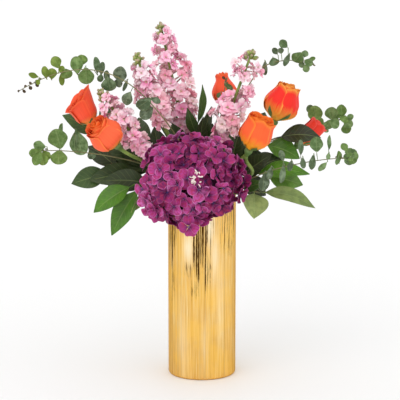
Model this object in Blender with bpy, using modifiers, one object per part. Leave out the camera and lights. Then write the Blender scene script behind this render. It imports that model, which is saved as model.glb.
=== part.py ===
"""Floral table centrepiece: hydrangea, roses, stock, eucalyptus and salal in a gold cylinder vase.

Metres, +Z up. The origin is the centre of the vase's underside, and -Y is the front, where the hydrangea
hangs over the rim. Every stem stands on the vase's floor, runs straight up to the mouth and then bends
smoothly to its flower.
"""

import math

import bmesh
import bpy
from mathutils import Matrix, Vector

MM = 0.001
CLEARANCE = 0.3 * MM  # gap kept between pieces that touch

# ---- vase ----
VASE_RADIUS = 51 * MM
VASE_HEIGHT = 277 * MM
VASE_WALL = 3.5 * MM
VASE_FLOOR = 6 * MM
VASE_FOOT_ROUND = 4 * MM
VASE_RIM_ROUND = 1.6 * MM
VASE_STEPS = 48

# ---- stems in the vase ----
SLOT_ROWS_Y = (1 * MM, 12 * MM, 23 * MM, 34 * MM)  # rows A to D, front to back
FOOT_SPREAD = 0.88  # a stem's foot is this much nearer to the axis than its place in the mouth
FOOT_Z = VASE_FLOOR + CLEARANCE
STEM_SIDES = 6
GOLDEN_ANGLE = 137.5  # degrees, for twists that don't repeat
FRONT = Vector((0.0, -0.95, 0.3))  # the way that eucalyptus leaves tend to face

WAYPOINTS = {  # a place that a stem goes through after the mouth, and its direction there
    "rose_left_high": ((-60, 6, 335), (-0.75, -0.1, 0.65)),
    "rose_right_low": ((74, -34, 313), (0.2, -0.7, 0.7)),
    "stock_left": ((-52, -10, 321), (-0.7, -0.3, 0.6)),
    "eucalyptus_left_high": ((-78, -56, 423), (-0.66, 0.05, 0.70)),
    "eucalyptus_left_low": ((-138, -26, 337), (-0.93, -0.1, 0.2)),
    "eucalyptus_right_high": ((84, 36, 455), (0.62, 0.0, 0.78)),
    "eucalyptus_right_mid": ((76, 60, 329), (0.75, 0.4, 0.50)),
    "eucalyptus_right_low": ((84, -64, 315), (0.80, -0.2, 0.50)),
    "eucalyptus_centre": ((16, 28, 359), (0.20, 0.0, 1.0)),
}

# ---- hydrangea ----
HYDRANGEA_CENTRE = Vector((-13, -70, 308)) * MM
HYDRANGEA_HALF = Vector((79, 55, 75)) * MM
HYDRANGEA_STEM_SLOT = Vector((-3, -37, 0)) * MM
HYDRANGEA_STEM_RADIUS = 4 * MM
RIM_GAP = 1.2 * MM  # between the hydrangea's florets and the rim that they rest round
# the head's outline seen from the front: an angle from +X in degrees, how far round it reaches, and a swell
HYDRANGEA_SWELLS = ((-130, 28, 0.12), (-50, 26, -0.20))

# ---- roses: name, row, slot, foot of the bloom, direction it faces, radius, height ----
ROSE_STEM_RADIUS = 2.6 * MM
ROSE_HIP_RADIUS = 5.5 * MM
SEPAL_REACH = 19 * MM
SEPAL_NOTCH = 8 * MM  # how far the calyx reaches between two sepals
PETAL_WALL = 1.6 * MM
# profiles as (share of the radius, share of the height): the cup's outside from its lip down, and the heart
ROSE_CUP = ((0.92, 1.0), (1.0, 0.95), (0.93, 0.78), (0.99, 0.55), (0.94, 0.32), (0.66, 0.12), (0.25, 0.0))
ROSE_HEART = ((0.0, 0.93), (0.30, 0.95), (0.55, 0.84), (0.72, 0.58), (0.66, 0.34), (0.40, 0.20), (0.0, 0.16))
ROSES = (
    ("rose_left_high", "B", -24.6, (-163, -28, 385), (-0.45, -0.10, 0.88), 21, 54),
    ("rose_left_low", "A", -30.8, (-124, -74, 361), (-0.62, -0.42, 0.66), 25, 50),
    ("rose_back", "C", 6.2, (38, 60, 399), (-0.16, 0.10, 1.00), 21, 50),
    ("rose_right_high", "B", 24.6, (108, -5, 387), (0.36, -0.06, 0.90), 27, 58),
    ("rose_right_low", "A", 43.0, (68, -74, 354), (0.36, -0.15, 0.88), 25, 52),
    ("rose_far_right", "B", 36.9, (146, 26, 347), (0.70, 0.05, 0.70), 19, 45),
)

# ---- stock: name, row, slot, lowest florets, tip, radius, profile of the spike ----
STOCK_STEM_RADIUS = 2.8 * MM
FLORET_RINGS = 10  # rings of florets that show as ripples on a spike
# a profile is (share of the spike's length, share of its radius)
FULL_SPIKE = ((0.0, 0.55), (0.10, 0.95), (0.35, 1.0), (0.60, 0.90), (0.80, 0.68), (0.92, 0.42), (1.0, 0.2))
OPEN_SPIKE = ((0.0, 0.5), (0.1, 1.0), (0.3, 1.0), (0.42, 0.45), (0.62, 0.7), (0.8, 0.7), (0.93, 0.4), (1.0, 0.2))
STOCKS = (
    ("stock_tall", "C", -6.2, (-28, 46, 369), (-63, 36, 530), 33, FULL_SPIKE),
    ("stock_mid", "B", -12.3, (-64, -12, 395), (-98, -18, 489), 24, FULL_SPIKE),
    ("stock_left", "A", -18.5, (-92, -44, 357), (-152, -34, 437), 22, FULL_SPIKE),
    ("stock_right", "A", 6.2, (28, -8, 365), (75, -10, 493), 29, OPEN_SPIKE),
)

# ---- eucalyptus: name, row, slot, tip, direction at the tip, lift out of the mouth, pull at the tip,
#      largest leaf radius, number of leaf pairs, share of the branch that is bare ----
EUCALYPTUS_STEM_RADIUS = 1.7 * MM
EUCALYPTUS = (
    ("eucalyptus_left_high", "A", -6.2, (-268, -14, 433), (-0.85, 0.0, -0.50), 1.30, 1.20, 12.5, 10, 0.42),
    ("eucalyptus_left_low", "B", -36.9, (-246, -30, 343), (-0.90, 0.05, -0.32), 0.55, 0.60, 16.0, 5, 0.55),
    ("eucalyptus_right_high", "C", 18.5, (168, 34, 465), (0.90, 0.0, -0.50), 1.00, 0.75, 10.5, 6, 0.62),
    ("eucalyptus_right_mid", "D", 24.6, (222, 74, 377), (0.90, -0.1, -0.10), 0.60, 0.60, 12.5, 6, 0.60),
    ("eucalyptus_right_low", "A", 30.8, (214, -80, 341), (0.98, 0.0, -0.20), 0.50, 0.60, 9.5, 8, 0.40),
    ("eucalyptus_centre", "B", 0.0, (37, 28, 445), (0.10, 0.0, 1.0), 0.40, 0.40, 6.5, 3, 0.78),
)

# ---- leaves ----
LEAF_THICKNESS = 0.8 * MM
LEAF_STALK_HALF = 0.9 * MM
LEAF_STALK_SHARE = 0.14

# ---- salal: name, row, slot, tip of the branch, direction there, then its leaves as
#      (share along the branch, tip of the leaf, width, way its upper face looks, droop) ----
SALAL_STEM_RADIUS = 1.9 * MM
SALAL = (
    ("salal_left_low", "A", -43.0, (-100, -40, 297), (-0.75, -0.35, 0.20), (
        (0.55, (-148, -22, 299), 34, (-0.1, -0.9, 0.3), 0.06),
        (0.70, (-104, -52, 257), 16, (0.8, -0.5, 0.3), 0.05),
        (0.84, (-134, -44, 221), 32, (-0.1, -0.9, 0.4), 0.08),
        (1.00, (-160, -50, 257), 34, (-0.15, -0.8, 0.6), 0.10),
    )),
    ("salal_left_mid", "D", -24.6, (-138, 8, 309), (-0.9, -0.2, 0.1), (
        (0.45, (-84, 16, 355), 26, (0.3, -0.9, 0.3), 0.06),
        (0.60, (-118, 26, 359), 34, (0.2, -0.8, 0.5), 0.08),
        (0.74, (-140, 6, 269), 36, (-0.1, -0.9, 0.4), 0.08),
        (0.88, (-172, 34, 343), 34, (-0.2, -0.7, 0.7), 0.10),
        (1.00, (-196, 2, 291), 34, (0.0, -0.9, 0.4), 0.10),
        (0.62, (-168, -12, 299), 36, (-0.1, -0.9, 0.4), 0.08),
        (0.40, (-136, 46, 329), 34, (0.0, -0.9, 0.4), 0.08),
    )),
    ("salal_left_high", "C", -30.8, (-160, 22, 359), (-0.8, -0.1, 0.5), (
        (0.50, (-96, 62, 383), 34, (-0.2, -0.6, 0.8), 0.08),
        (0.80, (-152, 58, 405), 30, (-0.1, -0.6, 0.8), 0.10),
        (1.00, (-208, 14, 393), 30, (0.2, -0.8, 0.5), 0.10),
    )),
    ("salal_centre", "D", 0.0, (-8, 22, 375), (0.0, -0.1, 1.0), (
        (0.55, (2, 4, 391), 20, (0.1, -0.9, 0.3), 0.06),
        (0.80, (-22, 6, 403), 18, (-0.2, -0.9, 0.2), 0.05),
        (1.00, (5, 14, 441), 14, (0.6, -0.8, 0.0), 0.04),
    )),
    ("salal_right_high", "C", 30.8, (112, 8, 359), (0.85, -0.3, 0.3), (
        (0.42, (92, 16, 333), 34, (0.1, -0.9, 0.4), 0.08),
        (0.60, (96, 62, 391), 34, (0.1, -0.5, 0.8), 0.08),
        (0.80, (146, 2, 329), 36, (0.2, -0.8, 0.6), 0.10),
        (1.00, (176, -12, 363), 32, (0.1, -0.8, 0.6), 0.08),
    )),
    ("salal_right_mid", "B", 12.3, (92, -16, 309), (0.85, -0.4, 0.1), (
        (0.60, (96, 0, 273), 32, (0.1, -0.9, 0.3), 0.06),
        (0.62, (100, -38, 341), 30, (-0.1, -0.9, 0.4), 0.06),
        (0.80, (158, -34, 313), 28, (0.1, -0.8, 0.6), 0.10),
        (1.00, (150, -20, 293), 34, (0.1, -0.9, 0.4), 0.08),
        (0.70, (122, 6, 329), 34, (0.1, -0.9, 0.4), 0.08),
    )),
    ("salal_right_low", "A", 18.5, (84, -42, 285), (0.7, -0.4, -0.1), (
        (0.60, (92, -60, 303), 18, (0.5, -0.8, 0.3), 0.06),
        (0.90, (76, -68, 251), 40, (0.2, -0.95, 0.1), 0.10),
        (1.00, (166, -60, 267), 26, (0.0, -0.7, 0.7), 0.14),
    )),
    ("salal_back_left", "D", -12.3, (-62, 96, 313), (-0.5, 0.8, 0.1), (
        (0.40, (-40, 108, 379), 34, (-0.1, 0.7, 0.7), 0.10),
        (0.55, (-92, 92, 349), 34, (-0.3, 0.6, 0.7), 0.10),
        (0.75, (-26, 122, 329), 34, (0.2, 0.7, 0.7), 0.10),
        (0.90, (-112, 112, 289), 34, (-0.3, 0.8, 0.6), 0.10),
        (1.00, (-66, 140, 269), 34, (0.0, 0.8, 0.6), 0.10),
    )),
    ("salal_back_right", "D", 12.3, (52, 92, 307), (0.5, 0.8, 0.1), (
        (0.40, (30, 108, 379), 34, (0.1, 0.7, 0.7), 0.10),
        (0.55, (88, 98, 347), 34, (0.3, 0.6, 0.7), 0.10),
        (0.75, (14, 118, 323), 34, (-0.2, 0.7, 0.7), 0.10),
        (0.90, (104, 106, 283), 34, (0.4, 0.8, 0.6), 0.10),
        (1.00, (50, 136, 261), 34, (0.0, 0.8, 0.6), 0.10),
    )),
)

# ---- colours (linear RGB), roughness, metallic ----
GOLD = ("gold_lustre", (0.80, 0.50, 0.14), 0.28, 1.0)
PURPLE = ("hydrangea_petal", (0.30, 0.03, 0.17), 0.60, 0.0)
ORANGE = ("rose_petal", (0.90, 0.12, 0.02), 0.55, 0.0)
PINK = ("stock_petal", (0.75, 0.30, 0.42), 0.60, 0.0)
STEM_GREEN = ("stem", (0.16, 0.26, 0.05), 0.55, 0.0)
SILVER_GREEN = ("eucalyptus_leaf", (0.14, 0.24, 0.13), 0.65, 0.0)
LEAF_GREEN = ("salal_leaf", (0.05, 0.16, 0.02), 0.40, 0.0)


# ---- scene helpers ----
def clear_scene():
    for obj in list(bpy.data.objects):
        bpy.data.objects.remove(obj)


def new_collection(name, hidden=False):
    made = bpy.data.collections.new(name)
    made.hide_render = hidden
    bpy.context.scene.collection.children.link(made)
    return made


def material(name, colour, roughness, metallic):
    """A Principled material, made once for each name."""
    found = bpy.data.materials.get(name)
    if found:
        return found
    made = bpy.data.materials.new(name)
    made.use_nodes = True
    shader = made.node_tree.nodes["Principled BSDF"]
    shader.inputs["Base Color"].default_value = (*colour, 1)
    shader.inputs["Roughness"].default_value = roughness
    shader.inputs["Metallic"].default_value = metallic
    return made


def add_object(name, data, collection, look, smooth_angle=40):
    """Links the data as one named object with its own look."""
    made = bpy.data.objects.new(name, data)
    collection.objects.link(made)
    data.materials.append(material(*look))
    if isinstance(data, bpy.types.Mesh):
        data.shade_smooth()
        data.set_sharp_from_angle(angle=math.radians(smooth_angle))
    return made


def mesh_from(bm, name):
    """The bmesh as mesh data, with its faces pointing out."""
    bmesh.ops.recalc_face_normals(bm, faces=bm.faces)
    mesh = bpy.data.meshes.new(name)
    bm.to_mesh(mesh)
    bm.free()
    return mesh


def boolean(obj, other, operation):
    """Adds a Boolean modifier. A collection works as one operand."""
    modifier = obj.modifiers.new(operation.lower(), "BOOLEAN")
    modifier.operation = operation
    modifier.solver = "EXACT"
    if isinstance(other, bpy.types.Collection):
        modifier.operand_type = "COLLECTION"
        modifier.collection = other
        modifier.use_self = True
    else:
        modifier.object = other


def as_helper(obj):
    """Marks an operand of a Boolean, which isn't a piece itself."""
    obj.hide_render = True
    obj.display_type = "WIRE"


def turned(name, profile, steps, collection, look, closed=False):
    """A solid of revolution about +Z from (radius, z) points that run down the outer side."""
    mesh = bpy.data.meshes.new(name)
    points = [(radius, 0, z) for radius, z in profile]
    edges = [(i, i + 1) for i in range(len(points) - 1)]
    if closed:
        edges.append((len(points) - 1, 0))
    mesh.from_pydata(points, edges, [])
    obj = add_object(name, mesh, collection, look)
    screw = obj.modifiers.new("turn", "SCREW")
    screw.steps = steps
    screw.render_steps = steps
    screw.use_merge_vertices = True
    screw.merge_threshold = 0.00002
    return obj


def tube(name, points, radii, collection, look, sides=STEM_SIDES):
    """A round stem along the points, with a radius at each, as a curve with filled caps."""
    curve = bpy.data.curves.new(name, "CURVE")
    curve.dimensions = "3D"
    curve.bevel_depth = 1.0
    curve.bevel_resolution = (sides - 4) // 2
    curve.use_fill_caps = True
    spline = curve.splines.new("POLY")
    spline.points.add(len(points) - 1)
    for spot, place, radius in zip(spline.points, points, radii):
        spot.co = (*place, 1)
        spot.radius = radius
    return add_object(name, curve, collection, look)


def tube_as_mesh(curve_object):
    """The curve object rebuilt as a closed mesh object, so that a Boolean can join or cut it."""
    graph = bpy.context.evaluated_depsgraph_get()
    mesh = bpy.data.meshes.new_from_object(curve_object.evaluated_get(graph))
    bm = bmesh.new()
    bm.from_mesh(mesh)
    bmesh.ops.remove_doubles(bm, verts=bm.verts, dist=0.00001)
    bmesh.ops.recalc_face_normals(bm, faces=bm.faces)
    bm.to_mesh(mesh)
    bm.free()
    name = curve_object.name
    home = curve_object.users_collection[0]
    matrix = curve_object.matrix_world.copy()
    bpy.data.objects.remove(curve_object)
    obj = bpy.data.objects.new(name, mesh)
    obj.matrix_world = matrix
    home.objects.link(obj)
    mesh.shade_smooth()
    return obj


def facing(direction, upper=(0, 0, 1)):
    """A rotation that takes +Z to the direction, and +Y as near to the upper vector as it can."""
    z = Vector(direction).normalized()
    x = Vector(upper).cross(z)
    if x.length < 1e-4:
        x = Vector((1, 0, 0))
    x.normalize()
    y = z.cross(x)
    return Matrix((x, y, z)).transposed().to_4x4()


# ---- stems ----
def slot_place(row, x):
    """Where a stem crosses the mouth: its row, and how far it stands to the side in millimetres."""
    return Vector((x * MM, SLOT_ROWS_Y["ABCD".index(row)], VASE_HEIGHT))


def bend(start, leave, end, arrive, steps):
    """Points of a smooth Hermite curve from start to end, start left out."""
    points = []
    for i in range(1, steps + 1):
        t = i / steps
        points.append(
            start * (2 * t**3 - 3 * t**2 + 1)
            + leave * (t**3 - 2 * t**2 + t)
            + end * (3 * t**2 - 2 * t**3)
            + arrive * (t**3 - t**2)
        )
    return points


def stem_path(name, row, x, end, direction, lift=0.8, pull=0.8, steps=7):
    """Foot, mouth, and then the bend from the mouth to the end, through the stem's waypoint if it has one."""
    mouth = slot_place(row, x)
    foot = Vector((mouth.x * FOOT_SPREAD, mouth.y * FOOT_SPREAD, FOOT_Z))
    points = [foot, mouth]
    start = mouth
    leave = (mouth - foot).normalized()
    if name in WAYPOINTS:
        place, turn = WAYPOINTS[name]
        via = Vector(place) * MM
        through = Vector(turn).normalized()
        reach = (via - mouth).length * 0.8
        points += bend(mouth, leave * reach, via, through * reach, 4)
        start, leave = via, through
        steps -= 1
    reach = (end - start).length
    arrive = Vector(direction).normalized() * reach * pull
    return points + bend(start, leave * reach * lift, end, arrive, steps)


def along(points, share):
    """The place and direction at a share of the way along a list of points, by length."""
    lengths = [(b - a).length for a, b in zip(points, points[1:])]
    left = share * sum(lengths)
    for a, b, length in zip(points, points[1:], lengths):
        if left <= length:
            break
        left -= length
    return a.lerp(b, min(1, left / length)), (b - a).normalized()


# ---- leaves ----
def leaf(name, start, tip, width, normal, droop, blunt, collection, look):
    """One closed leaf from its stalk's start to its tip, facing the normal, bowed by droop times its length."""
    length = (tip - start).length
    bm = bmesh.new()
    bmesh.ops.create_grid(bm, x_segments=1 if blunt else 2, y_segments=5 if blunt else 6, size=0.5)
    for vertex in bm.verts:
        side = vertex.co.x * 2
        t = vertex.co.y + 0.5
        if blunt:
            t = 0.5 - 0.5 * math.cos(math.pi * t)
        half = LEAF_STALK_HALF
        if t > LEAF_STALK_SHARE:
            s = (t - LEAF_STALK_SHARE) / (1 - LEAF_STALK_SHARE)
            round_swell = math.sqrt(max(0, 1 - (2 * s - 1) ** 2))
            pointed_swell = max(0, math.sin(math.pi * s**0.85)) ** 0.9
            half = max(half * 0.7, width / 2 * (round_swell if blunt else pointed_swell))
        bow = droop * length * math.sin(math.pi * t)
        fold = 0 if blunt else 0.16 * half * abs(side)
        vertex.co = (side * half, t * length, bow + fold)
    bmesh.ops.solidify(bm, geom=bm.faces[:], thickness=LEAF_THICKNESS)
    mesh = mesh_from(bm, name)
    y = (tip - start).normalized()
    x = y.cross(Vector(normal)).normalized()
    z = x.cross(y)
    mesh.transform(Matrix.Translation(start) @ Matrix((x, y, z)).transposed().to_4x4())
    obj = add_object(name, mesh, collection, look)
    as_helper(obj)
    return obj


def leafy_stem(name, points, radius, leaves, look, parts, helpers):
    """A stem and its leaves joined in one solid. leaves holds one argument list for each leaf."""
    radii = [radius] * 2 + [radius * (1 - 0.55 * i / (len(points) - 2)) for i in range(1, len(points) - 1)]
    stem = tube_as_mesh(tube(name, points, radii, parts, look))
    operands = bpy.data.collections.new(name + "_leaves")
    helpers.children.link(operands)
    for i, (start, tip, width, normal, droop, blunt) in enumerate(leaves):
        leaf(f"{name}_leaf_{i + 1}", start, tip, width, normal, droop, blunt, operands, look)
    boolean(stem, operands, "UNION")
    return stem


def block(name, low, high, helpers):
    """A wide helper box between two heights, to cut the hydrangea with."""
    bm = bmesh.new()
    bmesh.ops.create_cube(bm, size=1)
    for vertex in bm.verts:
        vertex.co = (vertex.co.x, vertex.co.y, low + (vertex.co.z + 0.5) * (high - low))
    made = add_object(name, mesh_from(bm, name), helpers, PURPLE)
    as_helper(made)
    return made


# ---- pieces ----
def build_vase(parts):
    """A straight cylinder with a thick floor, a rounded foot and a rounded rim."""
    inner = VASE_RADIUS - VASE_WALL
    profile = [(0, VASE_FLOOR), (inner, VASE_FLOOR), (inner, VASE_HEIGHT - VASE_RIM_ROUND)]
    rim_centre = VASE_RADIUS - VASE_WALL / 2
    for i in range(1, 4):
        angle = math.pi * (1 - i / 4)
        profile.append((rim_centre + VASE_WALL / 2 * math.cos(angle),
                        VASE_HEIGHT - VASE_RIM_ROUND + VASE_RIM_ROUND * math.sin(angle)))
    profile.append((VASE_RADIUS, VASE_HEIGHT - VASE_RIM_ROUND))
    for i in range(4):
        angle = math.pi / 2 * i / 3
        profile.append((VASE_RADIUS - VASE_FOOT_ROUND * (1 - math.cos(angle)),
                        VASE_FOOT_ROUND * (1 - math.sin(angle))))
    profile.append((0, 0))
    turned("vase", profile, VASE_STEPS, parts, GOLD)


def build_hydrangea(parts, helpers):
    """A dome of florets hung over the front of the rim: the crown, and what hangs round the vase below it."""
    end = HYDRANGEA_CENTRE + Vector((2, 4, 4)) * MM
    mouth = Vector((HYDRANGEA_STEM_SLOT.x, HYDRANGEA_STEM_SLOT.y, VASE_HEIGHT))
    foot = Vector((mouth.x, mouth.y + 1 * MM, FOOT_Z))
    points = [foot, mouth] + bend(mouth, Vector((0, 0, 1)) * 30 * MM, end, Vector((0, -1, 0.6)) * 30 * MM, 5)
    tube("hydrangea_stem", points, [HYDRANGEA_STEM_RADIUS] * len(points), parts, STEM_GREEN, sides=8)

    bm = bmesh.new()
    bmesh.ops.create_uvsphere(bm, u_segments=20, v_segments=12, radius=1)
    for vertex in bm.verts:
        x, y, z = vertex.co
        azimuth = math.atan2(y, x)
        lump = 1 - 0.035 * (1 - math.cos(6 * azimuth + 4 * z) * math.cos(7 * z))
        for middle, spread, swell in HYDRANGEA_SWELLS:
            off = (math.degrees(math.atan2(z, x)) - middle + 180) % 360 - 180
            lump += swell * math.exp(-((off / spread) ** 2)) * (1 - y * y)
        vertex.co = [c * half * lump for c, half in zip(vertex.co, HYDRANGEA_HALF)]
    head = mesh_from(bm, "hydrangea_head")
    hanging = add_object("hydrangea_hanging", head.copy(), parts, PURPLE)
    crown = add_object("hydrangea_crown", head, parts, PURPLE)
    crown.location = hanging.location = HYDRANGEA_CENTRE
    rim = VASE_HEIGHT + RIM_GAP
    reach = 120 * MM

    wide = HYDRANGEA_STEM_RADIUS + 3 * CLEARANCE
    beyond = points[-1] + (points[-1] - points[-2]).normalized() * CLEARANCE
    bore = tube_as_mesh(tube("hydrangea_stem_room", points[1:] + [beyond], [wide] * len(points), helpers,
                             STEM_GREEN, sides=8))
    as_helper(bore)
    boolean(crown, bore, "DIFFERENCE")
    boolean(crown, block("hydrangea_below_rim", rim + CLEARANCE - reach, rim + CLEARANCE, helpers), "DIFFERENCE")

    bm = bmesh.new()
    bmesh.ops.create_cone(bm, cap_ends=True, segments=VASE_STEPS, depth=reach,
                          radius1=VASE_RADIUS + RIM_GAP, radius2=VASE_RADIUS + RIM_GAP)
    room = add_object("hydrangea_vase_room", mesh_from(bm, "hydrangea_vase_room"), helpers, GOLD)
    room.location = (0, 0, rim + CLEARANCE - reach / 2)
    as_helper(room)
    boolean(hanging, room, "DIFFERENCE")
    boolean(hanging, block("hydrangea_above_rim", rim, rim + reach, helpers), "DIFFERENCE")


def build_calyx(name, turn, parts):
    """A thin star of five sepals, bent down away from the petals."""
    bm = bmesh.new()
    bmesh.ops.create_circle(bm, cap_ends=True, segments=10, radius=4.5 * MM)
    grown = bmesh.ops.extrude_edge_only(bm, edges=bm.edges[:])["geom"]
    for vertex in [item for item in grown if isinstance(item, bmesh.types.BMVert)]:
        turns = math.atan2(vertex.co.y, vertex.co.x) / (2 * math.pi) * 5
        on_sepal = abs(turns - round(turns)) < 0.1
        reach = SEPAL_REACH if on_sepal else SEPAL_NOTCH
        vertex.co = vertex.co.normalized() * reach
        vertex.co.z = -0.75 * (reach - SEPAL_NOTCH)
    bmesh.ops.recalc_face_normals(bm, faces=bm.faces)
    bmesh.ops.solidify(bm, geom=bm.faces[:], thickness=LEAF_THICKNESS)
    calyx = add_object(name + "_calyx", mesh_from(bm, name + "_calyx"), parts, STEM_GREEN)
    calyx.matrix_world = turn @ Matrix.Translation((0, 0, 0.2 * MM))


def build_rose(parts, name, row, slot, foot, direction, radius, height):
    """Stem with its hip, a star of sepals, a cup of outer petals and the closed heart inside it."""
    end = Vector(foot) * MM
    axis = Vector(direction).normalized()
    radius *= MM
    turn = Matrix.Translation(end) @ facing(axis)

    hip = end - axis * 1.5 * MM
    neck = end - axis * 9 * MM
    points = stem_path(name, row, slot, neck, axis) + [hip]
    radii = [ROSE_STEM_RADIUS] * (len(points) - 1) + [ROSE_HIP_RADIUS]
    tube(name + "_stem", points, radii, parts, STEM_GREEN)
    build_calyx(name, turn, parts)

    base = 1.5 * MM
    tall = height * MM - base
    outside = [(r * radius, base + z * tall) for r, z in ROSE_CUP]
    inside = [(r - PETAL_WALL, z) for r, z in reversed(outside[1:-1])]
    bottom = base + PETAL_WALL
    profile = [(0, bottom), (inside[0][0] * 0.6, bottom)] + inside + outside + [(0, base)]
    cup = turned(name + "_outer_petals", profile, 12, parts, ORANGE)
    cup.matrix_world = turn
    heart = turned(name + "_heart", [(r * radius, base + z * tall) for r, z in ROSE_HEART], 10, parts, ORANGE)
    heart.matrix_world = turn


def profile_at(profile, share):
    """A profile's value at a share of its length, in straight lines between its points."""
    for (s0, v0), (s1, v1) in zip(profile, profile[1:]):
        if share <= s1:
            break
    return v0 + (v1 - v0) * (share - s0) / (s1 - s0)


def build_stock(parts, name, row, slot, base, tip, radius, spike):
    """A stem, straight where it carries florets, and the lumpy sleeve of florets round it."""
    low = Vector(base) * MM
    high = Vector(tip) * MM
    axis = (high - low).normalized()
    length = (high - low).length
    points = stem_path(name, row, slot, low, axis) + [high]
    radii = [STOCK_STEM_RADIUS] * (len(points) - 1) + [1.6 * MM]
    tube(name + "_stem", points, radii, parts, STEM_GREEN)

    bore = STOCK_STEM_RADIUS + CLEARANCE
    outside = []
    for i in range(FLORET_RINGS + 1):
        share = 1 - i / FLORET_RINGS
        ripple = 1.0 if i % 2 else 0.88
        wide = profile_at(spike, share) * radius * MM * ripple
        outside.append((max(bore + 2 * MM, wide), share * length))
    profile = [(bore, 0), (bore, length)] + outside
    sleeve = turned(name + "_florets", profile, 12, parts, PINK, closed=True)
    sleeve.matrix_world = Matrix.Translation(low) @ facing(axis)


def build_eucalyptus(parts, helpers, name, row, slot, tip, direction, lift, pull, leaf_radius, pairs, bare):
    """A branch with round leaves in pairs, each pair turned from the last, smaller towards the tip."""
    points = stem_path(name, row, slot, Vector(tip) * MM, direction, lift, pull, steps=10)
    branch = points[1:]
    leaves = []
    for i in range(pairs):
        share = bare + (0.985 - bare) * i / (pairs - 1)
        place, forward = along(branch, share)
        size = leaf_radius * MM * (1 - 0.55 * (i / (pairs - 1)) ** 2)
        side = facing(forward) @ Matrix.Rotation(math.radians(90 * i + 35), 4, "Z")
        for k in (0, 1):
            out = (side @ Vector((1 - 2 * k, 0, 0))).normalized()
            reach = (out * 0.86 + forward * 0.5).normalized()
            twist = math.radians(40 * math.sin(math.radians(GOLDEN_ANGLE * (2 * i + k))))
            normal = Matrix.Rotation(twist, 3, reach) @ (FRONT - reach * reach.dot(FRONT)).normalized()
            start = place + reach * 0.2 * MM
            leaves.append((start, start + reach * size * 2.25, size * 2, normal, 0.05, True))
    leafy_stem(name, points, EUCALYPTUS_STEM_RADIUS, leaves, SILVER_GREEN, parts, helpers)


def build_salal(parts, helpers, name, row, slot, tip, direction, leaf_rows):
    """A branch with large pointed leaves, each from a share along the branch to its own tip."""
    points = stem_path(name, row, slot, Vector(tip) * MM, direction)
    branch = points[1:]
    leaves = []
    for share, leaf_tip, width, normal, droop in leaf_rows:
        place, _ = along(branch, min(share, 0.985))
        leaves.append((place, Vector(leaf_tip) * MM, width * MM, Vector(normal), droop, False))
    leafy_stem(name, points, SALAL_STEM_RADIUS, leaves, LEAF_GREEN, parts, helpers)


def main():
    clear_scene()
    parts = new_collection("floral_centrepiece")
    helpers = new_collection("helpers", hidden=True)
    build_vase(parts)
    build_hydrangea(parts, helpers)
    for rose in ROSES:
        build_rose(parts, *rose)
    for stock in STOCKS:
        build_stock(parts, *stock)
    for branch in EUCALYPTUS:
        build_eucalyptus(parts, helpers, *branch)
    for branch in SALAL:
        build_salal(parts, helpers, *branch)


main()
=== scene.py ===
"""Looks for the floral table centrepiece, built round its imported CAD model.

Metres, +Z up. The centre of the vase's underside is the origin, and -Y is the front. The layout of stems,
flowers and leaves repeats the CAD model's, so that each piece lies where its CAD solid is.
"""
import math
import random

import bmesh
import bpy
import numpy as np
from mathutils import Matrix, Vector


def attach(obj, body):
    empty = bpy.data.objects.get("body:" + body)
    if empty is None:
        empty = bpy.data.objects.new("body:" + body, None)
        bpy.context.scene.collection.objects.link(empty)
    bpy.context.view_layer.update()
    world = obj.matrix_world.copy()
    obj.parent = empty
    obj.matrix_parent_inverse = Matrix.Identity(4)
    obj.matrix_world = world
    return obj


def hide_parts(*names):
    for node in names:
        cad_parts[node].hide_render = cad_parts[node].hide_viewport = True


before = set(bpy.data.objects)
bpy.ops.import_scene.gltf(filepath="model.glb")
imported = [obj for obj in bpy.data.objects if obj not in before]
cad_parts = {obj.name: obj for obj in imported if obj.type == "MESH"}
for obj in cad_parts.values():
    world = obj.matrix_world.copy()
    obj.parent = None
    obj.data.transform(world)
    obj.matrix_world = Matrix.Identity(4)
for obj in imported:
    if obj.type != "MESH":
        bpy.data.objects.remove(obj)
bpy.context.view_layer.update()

MM = 0.001
BODY = "root"

# ---- layout, as in the CAD model ----
VASE_RADIUS = 51 * MM
VASE_HEIGHT = 277 * MM
VASE_WALL = 3.5 * MM
VASE_FLOOR = 6 * MM
VASE_FOOT_ROUND = 4 * MM
VASE_RIM_ROUND = 1.6 * MM
VASE_AROUND = 900
VASE_RINGS = 40
RIB_DEPTH = 0.30
SLOT_ROWS_Y = (1 * MM, 12 * MM, 23 * MM, 34 * MM)
FOOT_SPREAD = 0.88
FOOT_Z = VASE_FLOOR + 0.3 * MM
GOLDEN_ANGLE = 137.5
FRONT = Vector((0.0, -0.95, 0.3))

WAYPOINTS = {
    "rose_left_high": ((-60, 6, 335), (-0.75, -0.1, 0.65)),
    "rose_right_low": ((74, -34, 313), (0.2, -0.7, 0.7)),
    "stock_left": ((-52, -10, 321), (-0.7, -0.3, 0.6)),
    "eucalyptus_left_high": ((-78, -56, 423), (-0.66, 0.05, 0.70)),
    "eucalyptus_left_low": ((-138, -26, 337), (-0.93, -0.1, 0.2)),
    "eucalyptus_right_high": ((84, 36, 455), (0.62, 0.0, 0.78)),
    "eucalyptus_right_mid": ((76, 60, 329), (0.75, 0.4, 0.50)),
    "eucalyptus_right_low": ((84, -64, 315), (0.80, -0.2, 0.50)),
    "eucalyptus_centre": ((16, 28, 359), (0.20, 0.0, 1.0)),
}

HYDRANGEA_CENTRE = Vector((-13, -70, 308)) * MM
HYDRANGEA_HALF = Vector((79, 55, 75)) * MM
HYDRANGEA_STEM_SLOT = Vector((-3, -37, 0)) * MM
HYDRANGEA_STEM_RADIUS = 4 * MM
# the head's outline seen from the front: an angle from +X in degrees, how far round it reaches, and a swell
HYDRANGEA_SWELLS = (
    (-152, 24, 0.10), (-128, 12, 0.05), (180, 12, -0.08), (-93, 18, 0.14), (-56, 17, -0.17), (88, 30, -0.10),
    (-6, 16, -0.04),
)
HYDRANGEA_FLORETS = 165
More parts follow.
